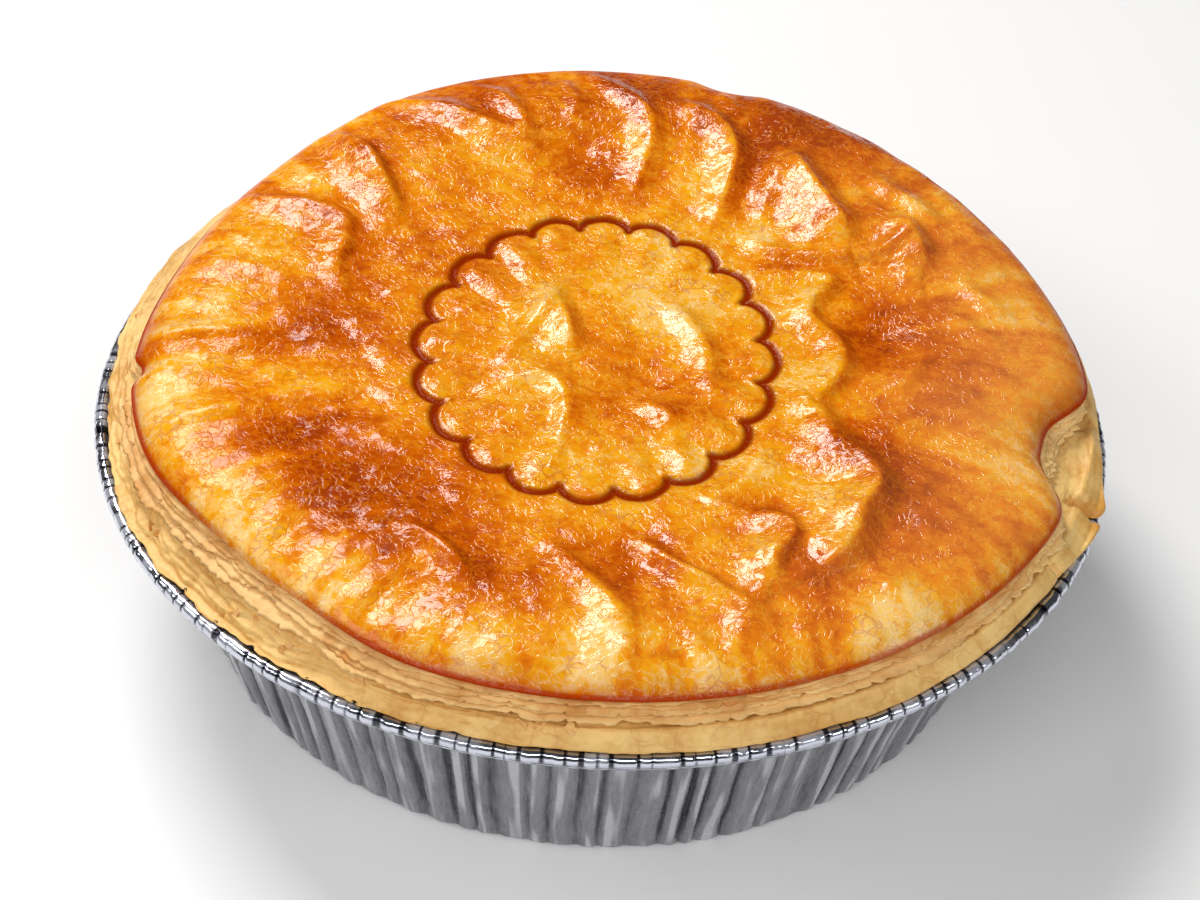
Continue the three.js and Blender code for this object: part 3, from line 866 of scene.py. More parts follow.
def leaf_finish():
    """Thin pale leaves of pastry with toasted tips."""
    tone = colours()
    finish = Finish("pastry_leaves")
    toast = finish.attribute("toast")
    cloud = finish.noise(130.0, 4.0)
    fibre = finish.noise(1.0, 3.0, finish.stretched((420, 420, 2600)))
    wander = finish.shifted(380.0, 2.5 * MM)
    plate, patch = finish.crinkle(420.0, wander)
    share = (toast + (cloud - 0.5) * 1.1 + (fibre - 0.5) * 0.6 + (patch - 0.5) * 0.2).step(-0.1, 0.9)
    base = finish.blend(share, tone.leaf, tone.leaf_toast)
    return finish.surface(
        Base_Color=base, Roughness=0.6, Specular_IOR_Level=0.3,
        Normal=finish.bump(fibre * 0.4 + cloud * 0.4 + plate * (0.42 / (0.25 * MM)), 0.25 * MM, 0.7))


def lid_finish():
    """Egg glaze over crust that runs from pale to dark, matt where it baked dry."""
    tone = colours()
    finish = Finish("glazed_lid")
    bake = finish.attribute("bake")
    groove = finish.attribute("groove")
    edge = finish.attribute("edge")
    cloud = finish.noise(75.0, 4.0)
    dapple = finish.noise(330.0, 4.0)
    fleck = finish.noise(1100.0, 3.0)
    wander = finish.shifted(330.0, 2.2 * MM)
    facet, patch = finish.crinkle(720.0, wander)
    # The crust's tone: its baking, painted shade on the lee sides of the creases, and random grain
    level = (bake + (cloud - 0.5) * 0.55 + (dapple - 0.5) * 0.55 + (fleck - 0.5) * 0.3
             + (patch - 0.5) * 0.14)
    base = finish.ramp(level, (
        (0.0, tone.crust_pale), (0.26, tone.crust_golden), (0.52, tone.crust_orange),
        (0.76, tone.crust_brown), (1.0, tone.crust_dark)))
    # Fine curled wrinkles of the shrunk glaze: partly their own paler and darker glaze, partly a painted
    # highlight on their crests and painted shade between them
    border = 1.0 - finish.cells(720.0, place=wander).step(0.03, 0.13)
    pale = border * finish.noise(480.0, 1.0).step(0.42, 0.54)
    pale = pale.most(finish.curls(660.0, (0.0, 0.0, 0.0))).most(finish.curls(500.0, (0.31, 0.17, 0.05)))
    dark = border * finish.noise(270.0, 1.0, wander).step(0.52, 0.62)
    stroke = finish.blend(level.step(0.1, 0.45), tone.stroke_pale_lit, tone.stroke_golden_lit)
    stroke = finish.blend(level.step(0.45, 0.85), stroke, tone.crust_orange)
    base = finish.blend(pale * 0.38, base, stroke)
    # Darker lines between the wrinkles' crests: darker glaze and painted shade
    base = finish.blend(dark * 0.45, base, tone.crust_brown)
    freckles = 1.0 - finish.cells(300.0, "F1").step(0.05, 0.1)
    base = finish.blend(freckles * 0.35, base, tone.crust_brown)
    base = finish.blend(finish.attribute("bare") * 0.32, base, tone.crust_bare)
    base = finish.blend(edge, base, tone.edge)
    base = finish.blend(finish.attribute("line") * 0.85, base, tone.caramel)
    base = finish.blend(groove, base, tone.groove)
    roughness = 0.14 + (dapple - 0.5) * 0.08
    glint = (1.0 - finish.cells(620.0, "F1").step(0.06, 0.2)) * level.step(0.45, 0.7)
    height = (dapple * 0.12 + fleck * 0.04 + cloud * 0.25 + pale * 0.17 - dark * 0.1 + glint * 0.3
              + facet * (0.19 / (0.3 * MM)))
    relief = finish.bump(height, 0.3 * MM, 0.7)
    glazed = finish.shader(
        Base_Color=base, Roughness=roughness, Specular_IOR_Level=0.6,
        Specular_Tint=(1.0, 0.92, 0.86, 1.0), Normal=relief)
    matte = finish.shader(Base_Color=base, Roughness=0.5, Specular_IOR_Level=0.0, Normal=relief)
    return finish.shown(finish.node(
        "ShaderNodeMixShader", None,
        {0: edge.most(groove).most(finish.attribute("baked_dry")) * 0.9, 1: glazed, 2: matte}))


def floor_finish():
    """Plain pale floor with hardly any grain."""
    finish = Finish("pale_floor")
    grain = finish.noise(40.0, 2.0)
    shade = finish.blend(grain * 0.02, colours().floor, (0.8, 0.8, 0.8))
    return finish.surface(Base_Color=shade, Roughness=0.7, Specular_IOR_Level=0.2)


# Lid

def lid_radius(angle):
    """Radius of the lid's outline from its own middle."""
    radius = np.full_like(angle, pastry().lid_radius)
    for degrees, spread, depth in OUTLINE_DENTS:
        radius -= depth * MM * np.exp(-(np.abs(turn(angle, degrees) / spread) ** 3))
    return radius


def lid_place(x, y):
    """Direction of each place from the lid's middle, and its distance from it."""
    dx, dy = x - pastry().lid_shift[0], y - pastry().lid_shift[1]
    return np.arctan2(dy, dx), np.hypot(dx, dy)


def rear_share(angle):
    """Share of the high side of the lid."""
    return bell(turn(angle, pastry().rear_at), pastry().rear_spread)


def edge_height(angle):
    """Height of the lid's edge."""
    size = pastry()
    front = np.maximum(0.0, -np.sin(angle))
    return size.edge_height + size.edge_rear_rise * rear_share(angle) - size.edge_front_drop * front


def seat_height(y):
    """Height of the lid's underside."""
    return pastry().seat_height + pastry().seat_slope * y


def smooth_path(points, steps=5):
    """Points of a smooth curve through the given ones."""
    given = np.array(points, dtype=float) * MM
    ends = np.concatenate([[2 * given[0] - given[1]], given, [2 * given[-1] - given[-2]]])
    share = np.arange(steps)[:, None] / steps
    curve = []
    for first, second, third, fourth in zip(ends, ends[1:], ends[2:], ends[3:]):
        bend = 2 * first - 5 * second + 4 * third - fourth
        twist = 3 * second - first - 3 * third + fourth
        curve.append(second + 0.5 * share * (third - first + share * (bend + share * twist)))
    return np.concatenate(curve + [given[-1:]])


def crease_rise(x, y, crease):
    """Rise of one crease, and the share of its right side that lies in its lee, which the crust's colour
    darkens as painted shade.
    """
    points, *sizes = crease
    left_reach, right_reach, height = (size * MM for size in sizes)
    path = smooth_path(points)
    near = np.full(x.shape, np.inf)
    across = np.zeros_like(x)
    along = np.zeros_like(x)
    for index, (start, end) in enumerate(zip(path, path[1:])):
        run = end - start
        reach = np.hypot(*run)
        inside = np.clip(((x - start[0]) * run[0] + (y - start[1]) * run[1]) / reach ** 2, 0.0, 1.0)
        away = np.hypot(x - start[0] - inside * run[0], y - start[1] - inside * run[1])
        side = ((y - start[1]) * run[0] - (x - start[0]) * run[1]) / reach
        closer = away < near
        near = np.where(closer, away, near)
        across = np.where(closer, np.where(side >= 0.0, away, -away), across)
        along = np.where(closer, (index + inside) / (len(path) - 1), along)
    away = np.sqrt(near * near + CREST_ROUND * CREST_ROUND) - CREST_ROUND
    rest = 1.0 - away / np.where(across > 0.0, left_reach, right_reach)
    slope = (rest + np.sqrt(rest * rest + SLOPE_FOOT)) / (1.0 + math.sqrt(1.0 + SLOPE_FOOT))
    taper = 0.35 + 0.65 * np.sin(math.pi * np.clip(along, 0.0, 1.0)) ** 0.6
    lee = smooth(0.0, 0.9 * MM, -across) * np.exp(-((away / (2.6 * right_reach)) ** 1.5))
    return height * taper * slope, lee * taper * min(max(height, 0.0) / (1.5 * MM), 1.2)


def rim_wrinkles(x, y):
    """Short radial wrinkles along the lid's edge, deepest at the left and the front."""
    angle, away = lid_place(x, y)
    inward = lid_radius(angle) - away
    sway = 0.05 * round_noise(angle, EDGE_COURSE, 20 * MM, 19) * inward / (10 * MM)
    ridges = np.abs(round_noise(angle + sway, WRINKLE_COURSE, 7.5 * MM, 17)) ** 0.7
    ridges += 0.5 * np.abs(round_noise(angle + sway, WRINKLE_COURSE, 3.6 * MM, 18)) ** 0.7
    reach = (9.0 + 4.0 * round_noise(angle, EDGE_COURSE, 11 * MM, 20)) * MM
    share = swell(angle, RIM_WRINKLES) + 0.2
    return 0.8 * MM * (ridges - 0.7) * share * np.exp(-np.maximum(inward - 3 * MM, 0.0) / reach * 2.0)


def lid_relief(x, y):
    """Creases, hollows and small unevenness of the lid's top, and the painted shade on the lee sides of
    its creases.
    """
    relief = np.zeros_like(x)
    lee_shade = np.zeros_like(x)
    for crease in LID_CREASES + LID_WRINKLES:
        rise, lee = crease_rise(x, y, crease)
        relief += rise
        lee_shade = np.maximum(lee_shade, lee)
    for hx, hy, reach, depth in LID_HOLLOWS:
        relief -= depth * MM * bell(np.hypot(x - hx * MM, y - hy * MM), reach * MM)
    relief += rim_wrinkles(x, y)
    relief += 0.22 * MM * soft_noise(x, y, 6.0 * MM, 5)
    relief += 0.10 * MM * soft_noise(x, y, 2.4 * MM, 6)
    blisters = bell(np.hypot(x + 30 * MM, y + 36 * MM), 12 * MM)
    relief += 0.12 * MM * blisters * np.maximum(0.0, soft_noise(x, y, 2.6 * MM, 7))
    return relief, lee_shade


def lid_top(x, y):
    """Height of the lid's top, and the painted shade on the lee side of each crease."""
    size = pastry()
    angle, away = lid_place(x, y)
    share = np.minimum(1.0, away / lid_radius(angle))
    puff = mix(size.puff_front, size.puff_rear, rear_share(angle)) * bell(share - 0.8, 0.2)
    relief, lee_shade = lid_relief(x, y)
    crown = size.crown_height + size.crown_slope * y + puff + relief
    return mix(crown, edge_height(angle), share ** size.shoulder_power), lee_shade


def ring_lobe(angle):
    """Nought where two scallops of the ring meet, one at the middle of each."""
    place_on_ring = angle / TAU * pastry().scallop_count + 0.5
    return np.sin(math.pi * (place_on_ring - np.floor(place_on_ring)))


def ring_outline(angle, offset):
    """The pressed ring: rounded scallops that meet in points."""
    size = pastry()
    scallop = size.scallop_depth * (np.maximum(ring_lobe(angle), 0.0) ** 0.62 - 1.0)
    return np.stack([
        size.ring_middle[0] + (size.ring_half_width + scallop + offset) * np.cos(angle),
        size.ring_middle[1] + (size.ring_half_depth + scallop + offset) * np.sin(angle)], -1)


def scallop_pillow(angle):
    """Rise of the lid between the points of the ring's scallops."""
    lobe = ring_lobe(angle)
    uneven = 1.0 + 0.6 * round_noise(angle, RING_COURSE, 6 * MM, 15)
    return 0.5 * MM * (lobe * lobe - 0.5) * uneven


def ring_distance(flat, curve):
    """Distance of each place from the ring's line."""
    return np.hypot(*(flat[:, None] - curve[None]).transpose(2, 0, 1)).min(axis=1)


def lid_edge(angle, outwards):
    """Places along the lid's outline, or outwards of it."""
    size = pastry()
    radius = lid_radius(angle) + outwards
    return np.stack([
        size.lid_shift[0] + radius * np.cos(angle),
        size.lid_shift[1] + radius * np.sin(angle)], -1)


def rim_streaks(x, y):
    """Radial streaks of darker and paler baking, finest along the lid's edge."""
    angle, away = lid_place(x, y)
    angle = angle + 0.12 * soft_noise(x, y, 22 * MM, 33)
    inward = np.maximum(lid_radius(angle) - away, 0.0)
    broad = round_noise(angle, STREAK_COURSE, 6.5 * MM, 34)
    broad += 0.7 * round_noise(angle, STREAK_COURSE, 2.6 * MM, 35)
    fine = round_noise(angle, EDGE_COURSE, 1.3 * MM, 36)
    inside = 1.0 - smooth(14 * MM, 40 * MM, inward)
    return 0.19 * broad * inside + 0.26 * fine * np.exp(-inward / (8 * MM))


def bake_and_lee_shade_level(x, y, lee_shade):
    """How well each place is baked, darkened by painted shade on the creases' lee sides: nought pale,
    one darkest.
    """
    # Darker on the lee sides of the creases: painted shade
    level = 0.43 + 0.36 * lee_shade + rim_streaks(x, y)
    for sign, patches in ((1.0, DARK_PATCHES), (-1.0, PALE_PATCHES)):
        for px, py, reach, share in patches:
            level += sign * share * bell(np.hypot(x - px * MM, y - py * MM), reach * MM)
    return level


def lid_browning(x, y):
    """Shares of the browned edge, the caramel line, the dry baking and the bare crust."""
    angle, away = lid_place(x, y)
    inward = np.maximum(lid_radius(angle) - away, 0.0)
    width = (0.5 + 0.28 * round_noise(angle, EDGE_COURSE, 5 * MM, 31) + swell(angle, EDGE_WIDTHS)) * MM
    strength = 1.15 - swell(angle, EDGE_FADES)
    edge = np.clip(0.85 * strength * np.exp(-inward / width), 0.0, 1.0)
    line = np.clip(strength, 0.0, 1.0) * (1.0 - smooth(0.15 * MM, 0.55 * MM, inward))
    rear = bell(turn(angle, 46), 32) * (1.0 + 0.25 * round_noise(angle, EDGE_COURSE, 4 * MM, 41))
    band = np.clip(rear, 0.0, 1.0) * (1.0 - smooth(2.4 * rear * MM, (0.3 + 4.0 * rear) * MM, inward))
    high = np.maximum(0.95 * bell(turn(angle, 105), 50), 0.8 * bell(turn(angle, 20), 40))
    dry = high * (1.0 - smooth(2 * MM, 13 * MM, inward))
    dry += 0.6 * bell(turn(angle, 205), 48) * (1.0 - smooth(20 * MM, 40 * MM, inward))
    bare = bell(turn(angle, 352), 48) * (1.0 - smooth(8 * MM, 34 * MM, inward))
    return {"edge": np.maximum(edge, 0.95 * band), "line": line, "baked_dry": dry, "bare": bare}


def lid_rings(angle):
    """Rings of the lid from its middle outwards: their places, how deep and how dark each is."""
    size = pastry()
    half = size.groove_width / 2.0
    plain = np.zeros_like(angle)
    inner = ring_outline(angle, -size.groove_width)
    pillow = scallop_pillow(angle)
    rings = []
    for share in np.linspace(0.03, 1.0, ROWS_IN_RING):
        rise = pillow * smooth(0.66, 0.9, share) * (1.0 - 0.7 * smooth(0.93, 1.05, share))
        rings.append((mix(np.array(size.ring_middle), inner, share), -rise, plain))
    curve = ring_outline(angles(size.scallop_count * POINTS_A_SCALLOP * 2), 0.0)
    for offset in np.linspace(-1.7, 1.7, ROWS_IN_GROOVE):
        flat = ring_outline(angle, offset * half)
        away = ring_distance(flat, curve)
        dark = 0.8 * np.exp(-(away / (0.85 * MM)) ** 4) + 0.2 * bell(away, 1.5 * MM)
        rings.append((flat, size.groove_depth * bell(away, 0.7 * MM), dark))
    outer = ring_outline(angle, 1.8 * half)
    rim = lid_edge(angle, 0.0)
    for share in 1.0 - (1.0 - np.linspace(0.012, 1.0, ROWS_ROUND_RING)) ** 1.25:
        rings.append((mix(outer, rim, share), plain, plain))
    return (np.array(column) for column in zip(*rings))


def lid_mesh(name):
    """The lid's top with its pressed ring, closed below."""
    size = pastry()
    angle = angles(size.scallop_count * POINTS_A_SCALLOP)
    flat, sink, dark = lid_rings(angle)
    height, lee_shade = lid_top(flat[..., 0], flat[..., 1])
    top = np.concatenate([flat, (height - sink)[..., None]], -1)
    lip = edge_height(angle)
    under = [np.column_stack([lid_edge(angle, out * MM), lip - drop * MM]) for out, drop in LID_LIP]
    seat = lid_edge(angle, -3.0 * MM)
    under.append(np.column_stack([seat, seat_height(seat[:, 1])]))
    rings = np.concatenate([top, np.array(under)])
    middle = np.array(size.ring_middle)
    peak = [*middle, float(np.mean(top[0, :, 2]))]
    mesh = capped_stack(name, rings, peak, [*middle, seat_height(middle[1])])
    points = np.concatenate([[peak], rings.reshape(-1, 3), [peak]])
    x, y = points[:, 0], points[:, 1]
    below = np.zeros(len(under) * len(angle) + 1)
    add_field(mesh, "groove", np.concatenate([[0.0], dark.ravel(), below]))
    # Baking, with painted shade on the lee sides of the creases
    add_field(mesh, "bake", bake_and_lee_shade_level(x, y, np.concatenate([[0.0], lee_shade.ravel(), below])))
    for field, values in lid_browning(x, y).items():
        add_field(mesh, field, values)
    return mesh


def leaf_rows(angle, leaf):
    """Rows of one leaf's closed section, and how toasted each is, paler in the notch at the right as
    painted light.
    """
    size = pastry()
    down = leaf / (len(LEAF_REACHES) - 1)
    bay = bell(turn(angle, 343), 17)
    lean = size.leaf_lean * bell(turn(angle, 232), 30) + swell(angle, LEAF_LEANS) * MM

    def uneven(cell, step):
        return round_noise(angle, LEAF_COURSE, cell * MM, 40 + 9 * leaf + step)

    wave = uneven(15, 0)
    torn = uneven(3.2, 1)
    teeth = uneven(0.7, 2)
    chipped = smooth(0.25, 0.5, uneven(5.5, 4))
    cracked = 1.0 - smooth(0.0, 0.09, np.abs(uneven(6.5, 5)))
    ragged = (0.22 + 0.2 * bay) * torn + (mix(0.1, 0.26, down) + 0.2 * bay) * teeth
    broken = mix(0.3, 0.75, down) * chipped + 0.5 * cracked
    stand = (LEAF_REACHES[leaf] + 0.35 * wave + ragged - broken) * MM + (lean + 0.2 * MM) * down
    outer = lid_edge(angle, stand)
    inner = lid_edge(angle, -3.2 * MM)
    lowest = seat_height(outer[:, 1]) + 0.65 * MM
    level = mix(edge_height(angle) - 0.4 * MM, lowest, down)
    level += 0.16 * MM * uneven(9, 3) + 0.08 * MM * uneven(2.5, 6)
    thick = size.leaf_thickness * (1.0 + 0.35 * torn) * (1.0 - 0.3 * bay) / 2.0
    rows = []
    toast = []
    for share, lift in LEAF_SECTION:
        droop = 0.22 * MM * share ** 3 * (1.0 + 0.9 * wave)
        rows.append(np.column_stack([mix(inner, outer, share), level + thick * lift - droop]))
        tip = 0.3 + 0.25 * smooth(0.85, 1.0, share) * (1.0 + wave) - 0.25 * down
        # Paler in the notch at the right: painted light where the notch lies in shade
        toast.append(tip - 0.3 * bay)
    return rows, toast


def leaves_mesh(name):
    """Thin ragged leaves of pastry round the lid's side, each closed on itself."""
    angle = angles(POINTS_A_LEAF)
    points = []
    faces = []
    toast = []
    for leaf in range(len(LEAF_REACHES)):
        rows, tones = leaf_rows(angle, leaf)
        faces.append(stack_faces(len(rows), len(angle), len(points) * len(angle), closed=True))
        points.extend(rows)
        toast.extend(tones)
    mesh = plain_mesh(name, np.concatenate(points), faces)
    add_field(mesh, "toast", np.concatenate(toast))
    return mesh


# Base

def split_corners(angle):
    """The turned-up corners of pastry either side of the widest split."""
    split = turn(angle, BASE_SPLITS[0][0])
    upper = np.clip((10.0 - split) / 8.5, 0.0, 1.0) ** 1.4
    lower = np.clip((12.0 + split) / 10.5, 0.0, 1.0) ** 1.3
    return np.where(split > 0.0, upper, lower)


def base_outline(angle, torn):
    """Radius of the base's uneven outside."""
    out = 0.1 - 0.45 * torn - swell(angle, BASE_DRAWN_IN) + 1.9 * split_corners(angle)
    out += (0.15 + 0.5 * torn) * round_noise(angle, FLANGE_COURSE, 5.5 * MM, 61)
    out += (0.08 + 0.22 * torn) * round_noise(angle, FLANGE_COURSE, 1.4 * MM, 60)
    return pastry().flange_radius + out * MM


def base_fall(angle, radius, torn):
    """Fall of the base's edge from its seat, and the painted shade at the foot of each torn layer's
    step.
    """
    section_radius, section_fall = np.array(BASE_SECTION).T * MM
    drift = 0.25 * MM * round_noise(angle, radius, 8 * MM, 66)
    smooth_fall = np.interp(radius + drift, section_radius, section_fall)
    torn_fall = 0.12 * (radius - BASE_EDGE_RADIUS)
    step_feet_shade = np.zeros_like(angle)
    for layer, (reach, drop) in enumerate(BASE_LAYERS):
        line = reach * MM + 0.9 * MM * round_noise(angle, BASE_COURSE, 6 * MM, 70 + layer)
        line += 0.32 * MM * round_noise(angle, BASE_COURSE, 1.8 * MM, 80 + layer)
        torn_fall = torn_fall + drop * MM * smooth(0.0, 0.1 * MM, radius - line)
        # Painted shade just past the foot of each layer's step
        step_feet_shade = np.maximum(step_feet_shade, bell(radius - line - 0.15 * MM, 0.22 * MM))
    return mix(smooth_fall, torn_fall, np.clip(torn, 0.0, 1.0)), step_feet_shade


def base_edge(angle, outer, seat, torn):
    """Rows of the base's edge from under the lid outwards, and how toasted each is, with painted shade
    at the feet of the torn layers.
    """
    bay = bell(turn(angle, 345), 15)
    rough = mix(0.55, 1.0, np.clip(torn + 0.8 * bay, 0.0, 1.0)) + 0.4 * bay
    corners = split_corners(angle) ** 3
    rows = []
    toast = []
    for share in np.linspace(0.0, 1.0, ROWS_IN_BASE_EDGE):
        radius = mix(BASE_EDGE_RADIUS, outer, share)
        fall, step_feet_shade = base_fall(angle, radius, torn)
        strata = (radius + 0.7 * MM * round_noise(angle, BASE_COURSE, 9 * MM, 67)) / (0.62 * MM)
        layered = np.abs(strata % 2.0 - 1.0) - 0.5
        lump = 0.2 * round_noise(angle, radius, 4.5 * MM, 64)
        lump += 0.06 * round_noise(angle, radius, 1.6 * MM, 65) + 0.06 * layered
        level = seat - fall + rough * lump * MM * smooth(0.0, 0.2, share)
        for px, py, reach, depth in BASE_PITS:
            away = np.hypot(radius * np.cos(angle) - px * MM, radius * np.sin(angle) - py * MM)
            level -= depth * MM * bell(away, reach * MM)
        rows.append(around(angle, radius, level))
        # Toasting, and painted shade at the foot of each torn layer's step
        browned = 0.3 * step_feet_shade * torn - 0.1 * layered * rough + 0.5 * corners * share ** 3
        toast.append(0.15 + 0.2 * share + browned)
    return rows, toast


def open_splits(angle, rows, rim_top):
    """Draws rows of the base's edge inwards and down where it has split."""
    for degrees, spread, depth in BASE_SPLITS:
        opened = depth * MM * np.exp(-np.abs(turn(angle, degrees) / spread) ** 1.5)
        for row in rows:
            reach = np.hypot(row[:, 0], row[:, 1])
            deep = smooth(*SPLIT_RADII, reach)
            row[:, :2] *= (1.0 - 0.6 * opened * deep / reach)[:, None]
            row[:, 2] -= np.minimum(0.8 * opened * deep, np.maximum(row[:, 2] - rim_top, 0.0))


def base_mesh(name):
    """The filled base with its pale, uneven edge over the rim."""
    size = pastry()
    foil = dish()
    angle = angles(POINTS_ROUND_BASE)
    hidden_toast = np.full_like(angle, 0.5)
    rim_top = foil.rim_height + foil.bead_radius + size.fit_gap
    seat = seat_height(size.flange_radius * np.sin(angle)) - size.fit_gap
    torn = swell(angle, BASE_TORN)
    outer = base_outline(angle, torn)
    edge, edge_toast = base_edge(angle, outer, seat, torn)
    rows = [around(angle, BASE_HIDDEN_RADIUS, seat), *edge]
    toast = [hidden_toast, *edge_toast]
    crest = np.maximum(rows[-1][:, 2], rim_top + 0.3 * MM)
    rows[-1][:, 2] = crest
    for out, share in BASE_LIP:
        rows.append(around(angle, outer + out * MM, mix(crest, rim_top, share)))
        toast.append(0.5 + 0.6 * split_corners(angle) ** 3)
    open_splits(angle, rows[SPLIT_FIRST_ROW:], rim_top)
    floor = foil.foil_skin + size.fit_gap
    wall = foil.wall_top_radius - foil.foil_skin - 1.2 * size.fit_gap
    foot = foil.foot_radius - foil.foot_curve - foil.foil_skin - 1.5 * size.fit_gap
    rows.append(around(angle, BASE_UNDER_RADIUS, rim_top - 0.4 * MM))
    rows.append(around(angle, wall, foil.wall_top_height + floor))
    rows.append(around(angle, foot, floor))
    toast += [hidden_toast] * 3
    rings = np.array(rows)
    mesh = capped_stack(name, rings, [0, 0, size.seat_height - size.fit_gap], [0, 0, floor])
    add_field(mesh, "toast", np.concatenate([[0.5], np.array(toast).ravel(), [0.5]]))
    add_course(mesh, np.concatenate([[[0, 0, 0]], rings.reshape(-1, 3), [[0, 0, 0]]]))
    lands = np.zeros(len(rows))
    lands[CRUMB_ROWS] = 1.0
    crumbs = (lands[:, None] * swell(angle, CRUMB_SPOTS)).ravel()
    add_field(mesh, "crumb_share", np.concatenate([[0.0], crumbs, [0.0]]))
    return mesh


# Foil dish

def foil_profile():
    """Radius, height, share of the pleats and share of the crimps, from the foot's middle up."""
    foil = dish()
    foot_in = foil.foot_radius - foil.foot_curve
    rows = [(foot_in * share, 0.0, 0.0, 0.0) for share in (0.5, 0.85, 1.0)]
    for share in (0.35, 0.7, 1.0):
        lift = share * math.pi / 2.0
        out = foot_in + foil.foot_curve * math.sin(lift)
        rows.append((out, foil.foot_curve * (1.0 - math.cos(lift)), 0.75 * share, 0.0))
    for share in np.linspace(0.04, 1.0, ROWS_IN_WALL):
        height = mix(foil.foot_curve, foil.wall_top_height, share)
        radius = mix(foil.foot_radius, foil.wall_top_radius, share)
        fade = float(smooth(foil.pleat_top - 1.6 * MM, foil.pleat_top + 0.9 * MM, height))
        rows.append((radius, height, 0.75 + 0.25 * float(smooth(0.0, 0.15, share)) - fade, 0.0))
    bead_middle = foil.rim_radius - foil.bead_radius
    lip = bead_middle + 0.1 * MM
    drop = foil.rim_height - foil.bead_radius - 0.3 * MM
    for out, up, crimp in ROLLED_LIP:
        rows.append((lip + out * MM, drop + up * MM, 0.0, crimp))
    for lift in np.radians(np.linspace(*BEAD_ARC, ROWS_IN_BEAD)):
        out = bead_middle + foil.bead_radius * math.cos(lift)
        rows.append((out, foil.rim_height + foil.bead_radius * math.sin(lift), 0.0, 1.0))
    skin = foil.foil_skin
    rows.append((foil.wall_top_radius - skin, foil.wall_top_height + skin, 0.0, 0.0))
    rows.append((foot_in - skin, skin, 0.0, 0.0))
    return rows


def foil_mesh(name):
    """The dish before its pleats are folded in."""
    foil = dish()
    rows = foil_profile()
    rows.reverse()
    angle = angles(foil.pleat_count * POINTS_A_PLEAT)
    rings = np.array([around(angle, radius, height) for radius, height, _, _ in rows])
    mesh = capped_stack(name, rings, [0, 0, foil.foil_skin], [0, 0, 0])
    for column, field in ((2, "pleat_share"), (3, "crimp_share")):
        share = np.repeat([max(0.0, row[column]) for row in rows], len(angle))
        add_field(mesh, field, np.concatenate([[0.0], share, [0.0]]))
    return mesh


def foil_shape(material):
    """Folds the pleats into the wall and the crimps into the rolled rim."""
    foil = dish()
    shape = Shape("pleated_foil")
    pleats = shape.size("Pleats", float(foil.pleat_count))
    depth = shape.size("Pleat Depth", foil.pleat_depth)
    crimps = shape.size("Crimps", float(foil.crimp_count))
    crimp_depth = shape.size("Crimp Depth", foil.crimp_depth)
    seed = shape.size("Seed", 3.0)
    here = shape.node("GeometryNodeInputPosition")
    x = shape.node("ShaderNodeSeparateXYZ", None, {0: here})
    y = x.beside("Y")
    angle = y.math("ARCTAN2", y, x)
    flat = shape.node("ShaderNodeCombineXYZ", None, {0: x, 1: y})
    outward = shape.vector("NORMALIZE", flat)

    def uneven(scale, offset, place=outward):
        return shape.node(
            "ShaderNodeTexNoise", {"noise_dimensions": "4D"},
            {"Vector": place, "W": seed + offset, "Scale": scale, "Detail": 1.0}) - 0.5

    lift = x.beside("Z") * 2.0
    lifted = shape.node("ShaderNodeCombineXYZ", None, {2: lift})
    drawn = shape.vector("ADD", outward, lifted)
    pleat_share = shape.attribute("pleat_share")
    crimp_share = shape.attribute("crimp_share")
    drifted = angle * pleats * 0.5 + uneven(9.0, 0.0) * 6.0 + uneven(52.0, 2.0, here) * 1.3
    wave = abs(drifted.math("SINE", drifted)) ** 0.85
    size = (0.8 + uneven(11.0, 7.0) * 2.2).most(0.12)
    dent = uneven(24.0, 9.0) * 0.7 + uneven(130.0, 13.0, here) * 0.35 + uneven(55.0, 29.0, drawn) * 0.5
    pleat = (wave * size - 0.55 + dent) * pleat_share * depth
    ticks = angle * crimps * (1.0 / TAU) + uneven(14.0, 11.0) * 3.0
    saw = abs(ticks.math("FRACT", ticks) * 2.0 - 1.0)
    crimp = (1.0 - saw.step(0.0, 0.38)) * (0.7 + uneven(40.0, 17.0) * 2.4).most(0.0)
    part = ticks.math("FLOOR", ticks)
    chance = shape.node("ShaderNodeTexWhiteNoise", {"noise_dimensions": "1D"}, {"W": part})
    tilt = (ticks.math("FRACT", ticks) - 0.5) * (chance - 0.5) * 1.2
    dents = uneven(330.0, 23.0, here) * 0.6 + (chance - 0.5) * 0.35 + tilt
    push = pleat - (crimp + dents) * crimp_share * crimp_depth
    offset = shape.vector("SCALE", outward, scale=push)
    moved = shape.node(
        "GeometryNodeSetPosition", None, {"Geometry": shape.geometry(), "Offset": offset})
    # Where the foil's painted shade goes: the creases of the pleats and the crimps
    crease = ((1.0 - wave.step(0.0, 0.95)) * size * pleat_share).most(crimp * crimp_share)
    stored = shape.node(
        "GeometryNodeStoreNamedAttribute", {"data_type": "FLOAT_VECTOR", "domain": "POINT"},
        {"Geometry": moved, "Name": "heading", "Value": drawn})
    for field, value in (("crease", crease), ("bead", crimp_share)):
        stored = shape.node(
            "GeometryNodeStoreNamedAttribute", {"data_type": "FLOAT", "domain": "POINT"},
            {"Geometry": stored, "Name": field, "Value": value})
    shape.finish(stored, material)
    return shape


